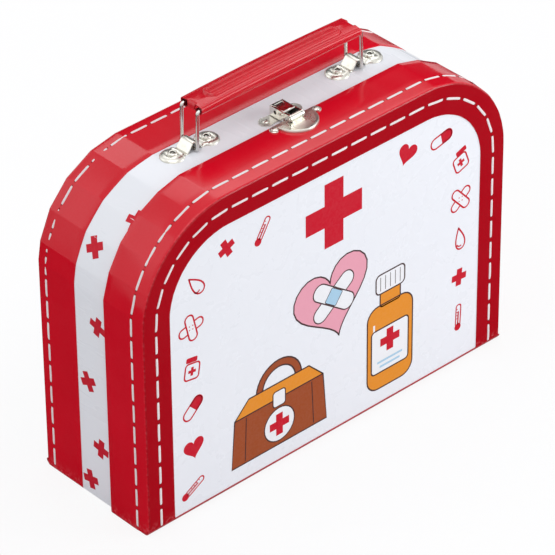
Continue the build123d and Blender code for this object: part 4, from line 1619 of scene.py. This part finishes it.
def buildHasp():
    # box-shaped hasp: framed top, two cheeks with a hole, two eyes round the pin
    x, sheet, half = latch["x"], latch["sheet"], (haspHigh.x - haspLow.x) / 2
    rear, top, foot = haspHigh.y, haspHigh.z, haspLow.z
    front, soft = case["lidRear"] + hasp["frontGap"], hasp["edgeSoft"]
    pinY, pinZ, knuckle = latch["pinY"], latch["pinZ"], latch["knuckle"]
    bm = bmesh.new()
    # top plate: a frame that slopes outward round a sunk polished panel
    loops = []
    for inset, drop in hasp["frame"]:
        loops.append(boxRing(bm, x, half - inset, front + inset, rear - inset, top - drop))
    under = boxRing(bm, x, half - soft, front + soft, rear - soft, top - sheet - hasp["underDrop"])
    for first, second in zip(loops, loops[1:]):
        bridge(bm, first, second)
    bridge(bm, loops[0], under)
    bm.faces.new(loops[-1])
    # the underside takes the painted shade steel
    bm.faces.new(list(reversed(under))).material_index = 1
    # cheeks: outline, hole and eye, given the sheet's thickness
    cheekTop = top - hasp["cheekDrop"]
    outline = [(front, foot), (rear, foot), (rear, cheekTop - 0.15), (rear - 0.12, cheekTop)]
    outline += [(front + 0.8, cheekTop)]
    for degrees in range(0, -181, -20):
        a = math.radians(degrees)
        outline.append((pinY + knuckle * math.sin(a), pinZ + knuckle * math.cos(a)))
    outline.append((front, pinZ - knuckle))
    holeY, holeZ = rear - hasp["holeIn"], (top + foot) / 2
    hole = [(holeY + u, holeZ + v) for u, v in circlePoints(hasp["hole"], 16)]
    eye = [(pinY + u, pinZ + v) for u, v in circlePoints(hasp["eye"], 12)]
    for side in (-1, 1):
        chains = []
        for path in (outline, hole, eye):
            skins = (x + side * half, x + side * (half - sheet))
            chains.append([[addVert(bm, skin, y, z) for y, z in path] for skin in skins])
        # the inner skin of each cheek takes the painted shade steel
        for number in (0, 1):
            edges = []
            for chain in [pair[number] for pair in chains]:
                edges += [bm.edges.new(ends) for ends in zip(chain, chain[1:] + chain[:1])]
            filled = bmesh.ops.triangle_fill(bm, use_beauty=True, use_dissolve=False, edges=edges)["geom"]
            for face in filled:
                if isinstance(face, bmesh.types.BMFace):
                    face.material_index = number
        for outside, inside in chains:
            bridge(bm, outside, inside)
    # dark discs just inside the cheeks' holes, painted shade for the hasp's shaded inside
    for side in (-1, 1):
        place = x + side * (half - sheet - hasp["discGap"])
        rim = [addVert(bm, place, holeY + u, holeZ + v) for u, v in circlePoints(hasp["disc"], 16)]
        disc = bm.faces.new(rim)
        thick = bmesh.ops.extrude_face_region(bm, geom=[disc])["geom"]
        for vert in [part for part in thick if isinstance(part, bmesh.types.BMVert)]:
            vert.co.x -= side * hasp["discThick"] * mm
            for face in vert.link_faces:
                face.material_index = 1
        disc.material_index = 1
    piece = makeObject("latchHasp", bm, [polishedNickel, paintedShadeSteel], 30)
    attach(piece, "hasp")
    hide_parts("latch_hasp")


def buildRivetHeads(name, node, body):
    # small domed rivets: head on the plate, shank through the wall
    low, high = cadBox(node)
    tail = low.z - high.z
    profile = latch["rivetHead"] + [(r, tail + h) for r, h in latch["rivetFoot"]]
    bm = bmesh.new()
    for x in (low.x + latch["rivetRadius"], high.x - latch["rivetRadius"]):
        revolve(bm, profile, x, (low.y + high.y) / 2, high.z, 20)
    piece = makeObject(name, bm, [nickel], 40)
    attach(piece, body)
    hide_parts(node)


polishedNickel = nickelPlate("polishedNickel", (0.74, 0.72, 0.67), (0.05, 0.12))
buildPlate()
buildHasp()
buildRivetHeads("latchRivets", "latch_rivets", "lid")
buildRivetHeads("keeperRivets", "keeper_rivets", "base")
print("latch built")

# sheets and metal that keep the frame's own shape

keptNodes = {
    "lid_front_board": boardMaterial,
    "lid_front_sheet": whitePaper, "base_back_sheet": whitePaper,
    "latch_keeper": nickel, "latch_pin": nickel, "handle_wire": wireSteel,
}
for nodeName, material in keptNodes.items():
    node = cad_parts[nodeName]
    node.data.materials.clear()
    node.data.materials.append(material)
print("frame pieces finished")

# camera, floor and lights

view = {
    "from": (-1.16130, -1.27725, 1.29050),
    "along": (0.55106, 0.60508, -0.57465),
    "roll": -0.5251,
    "focal": 4107.04,      # in pixels of the 555 pixel frame
    "frame": 555,
}


def placeCamera():
    data = bpy.data.cameras.new("camera")
    data.sensor_width = 36
    data.lens = view["focal"] / view["frame"] * data.sensor_width
    data.clip_end = 20
    camera = addToScene("camera", data)
    aim = Vector(view["along"]).to_track_quat("-Z", "Y").to_matrix().to_4x4()
    roll = Matrix.Rotation(math.radians(view["roll"]), 4, "Z")
    camera.matrix_world = Matrix.Translation(view["from"]) @ aim @ roll
    bpy.context.scene.camera = camera


def backdropMaterial():
    # matt white floor, mostly clear to the eye: it keeps a soft shadow and shows the white
    # world, and an opened lid that hangs below the standing case stays in sight
    material, tree, shader = newMaterial("studioFloor")
    tone = driftTone(tree, objectCoords(tree), 40, 3, (0.87, 0.87, 0.88), (0.89, 0.89, 0.90))
    feed(tree, shader, {"Base Color": tone, "Roughness": 0.9, "Specular IOR Level": 0.1})
    clear = tree.nodes.new("ShaderNodeBsdfTransparent")
    path = tree.nodes.new("ShaderNodeLightPath")
    side = tree.nodes.new("ShaderNodeNewGeometry")
    spread = tree.nodes.new("ShaderNodeVectorMath")
    spread.operation = "MULTIPLY"
    feed(tree, spread, {0: side.outputs["Position"], 1: studio["floorReach"]})
    away = tree.nodes.new("ShaderNodeVectorMath")
    away.operation = "LENGTH"
    feed(tree, away, {0: spread.outputs["Vector"]})
    near, far = studio["floorFade"]
    fade = mapRange(tree, away.outputs["Value"], near, far, studio["floorClear"], 1.0, smooth=True)
    seen = mathNode(tree, "MULTIPLY", path.outputs["Is Camera Ray"], fade)
    mixer = tree.nodes.new("ShaderNodeMixShader")
    hidden = mathNode(tree, "MAXIMUM", seen, side.outputs["Backfacing"])
    feed(tree, mixer, {0: hidden, 1: shader.outputs["BSDF"], 2: clear.outputs["BSDF"]})
    feed(tree, tree.nodes["Material Output"], {"Surface": mixer.outputs["Shader"]})
    return material


def blackVelvet():
    material, tree, shader = newMaterial("blackVelvet")
    pile = driftTone(tree, objectCoords(tree), 300, 3, (0.012, 0.012, 0.014), (0.03, 0.03, 0.034))
    feed(tree, shader, {"Base Color": pile, "Roughness": 0.95, "Specular IOR Level": 0.05})
    return material


def faceTowards(obj, place, aim, axis):
    obj.location = place
    obj.rotation_euler = (Vector(aim) - Vector(place)).to_track_quat(axis, "Y").to_euler()


def buildStudio():
    bm = bmesh.new()
    bmesh.ops.create_grid(bm, x_segments=2, y_segments=2, size=4)
    floor = makeObject("studioFloor", bm, [backdropMaterial()], smooth=False)
    floor.location.z = -0.0002
    world = bpy.data.worlds.new("studio")
    bpy.context.scene.world = world
    world.use_nodes = True
    tree = world.node_tree
    tree.nodes.clear()
    output = tree.nodes.new("ShaderNodeOutputWorld")
    sky = tree.nodes.new("ShaderNodeBackground")
    path = tree.nodes.new("ShaderNodeLightPath")
    glossy, through = path.outputs["Is Glossy Ray"], path.outputs["Is Transmission Ray"]
    sharp = mathNode(tree, "MAXIMUM", glossy, through)
    seen = mathNode(tree, "MAXIMUM", path.outputs["Is Camera Ray"], sharp)
    strength = mapRange(tree, seen, 0, 1, studio["ambient"], 1.0)
    feed(tree, sky, {"Color": (0.995, 0.995, 1.0, 1), "Strength": strength})
    feed(tree, output, {"Surface": sky.outputs["Background"]})
    for name, place, aim, size, power in studio["lamps"]:
        data = bpy.data.lights.new(name, "AREA")
        data.shape = "RECTANGLE"
        data.size, data.size_y = size
        data.energy = power
        faceTowards(addToScene(name, data), place, aim, "-Z")
    velvet = blackVelvet()
    for name, place, aim, (wide, high) in studio["cards"]:
        bm = bmesh.new()
        bmesh.ops.create_grid(bm, x_segments=1, y_segments=1, size=0.5)
        bmesh.ops.scale(bm, vec=(wide, high, 1), verts=bm.verts[:])
        card = makeObject(name, bm, [velvet], smooth=False)
        faceTowards(card, place, aim, "Z")
        card.visible_camera = False
        card.visible_diffuse = False
        card.visible_shadow = False


studio = {
    "ambient": 0.52,
    "floorClear": 0.88,
    "floorFade": (0.08, 0.21),   # the floor gets all clear between these distances from the case
    "floorReach": (0.45, 1, 0),  # the case is wide and shallow, so a distance along it counts less
    "lamps": [
        ("topSoftbox", (-0.3, -0.3, 1.5), (0, 0, 0.1), (1.2, 1.2), 7.0),
        ("leftRear", (-1.05, 1.1, 1.05), (0, 0, 0.1), (1.2, 1.2), 3.7),
        ("behind", (0.58, 0.63, 1.15), (0, 0, 0.15), (1.1, 0.34), 2.2),
        ("frontRight", (0.78, -0.85, 0.5), (0.05, 0, 0.1), (0.6, 0.6), 6.2),
    ],
    # black cards seen only in reflections: middle, what they face, width and height
    "cards": [
        ("floorCard", (0, 0, -0.0001), (0, 0, 1.0), (1.3, 1.2)),
        ("rearCard", (0.92, 1.00, 0.66), (0, 0, 0.18), (2.0, 0.80)),
    ],
}
placeCamera()
buildStudio()
bpy.context.scene.view_settings.view_transform = "Standard"
print("camera and lights placed")
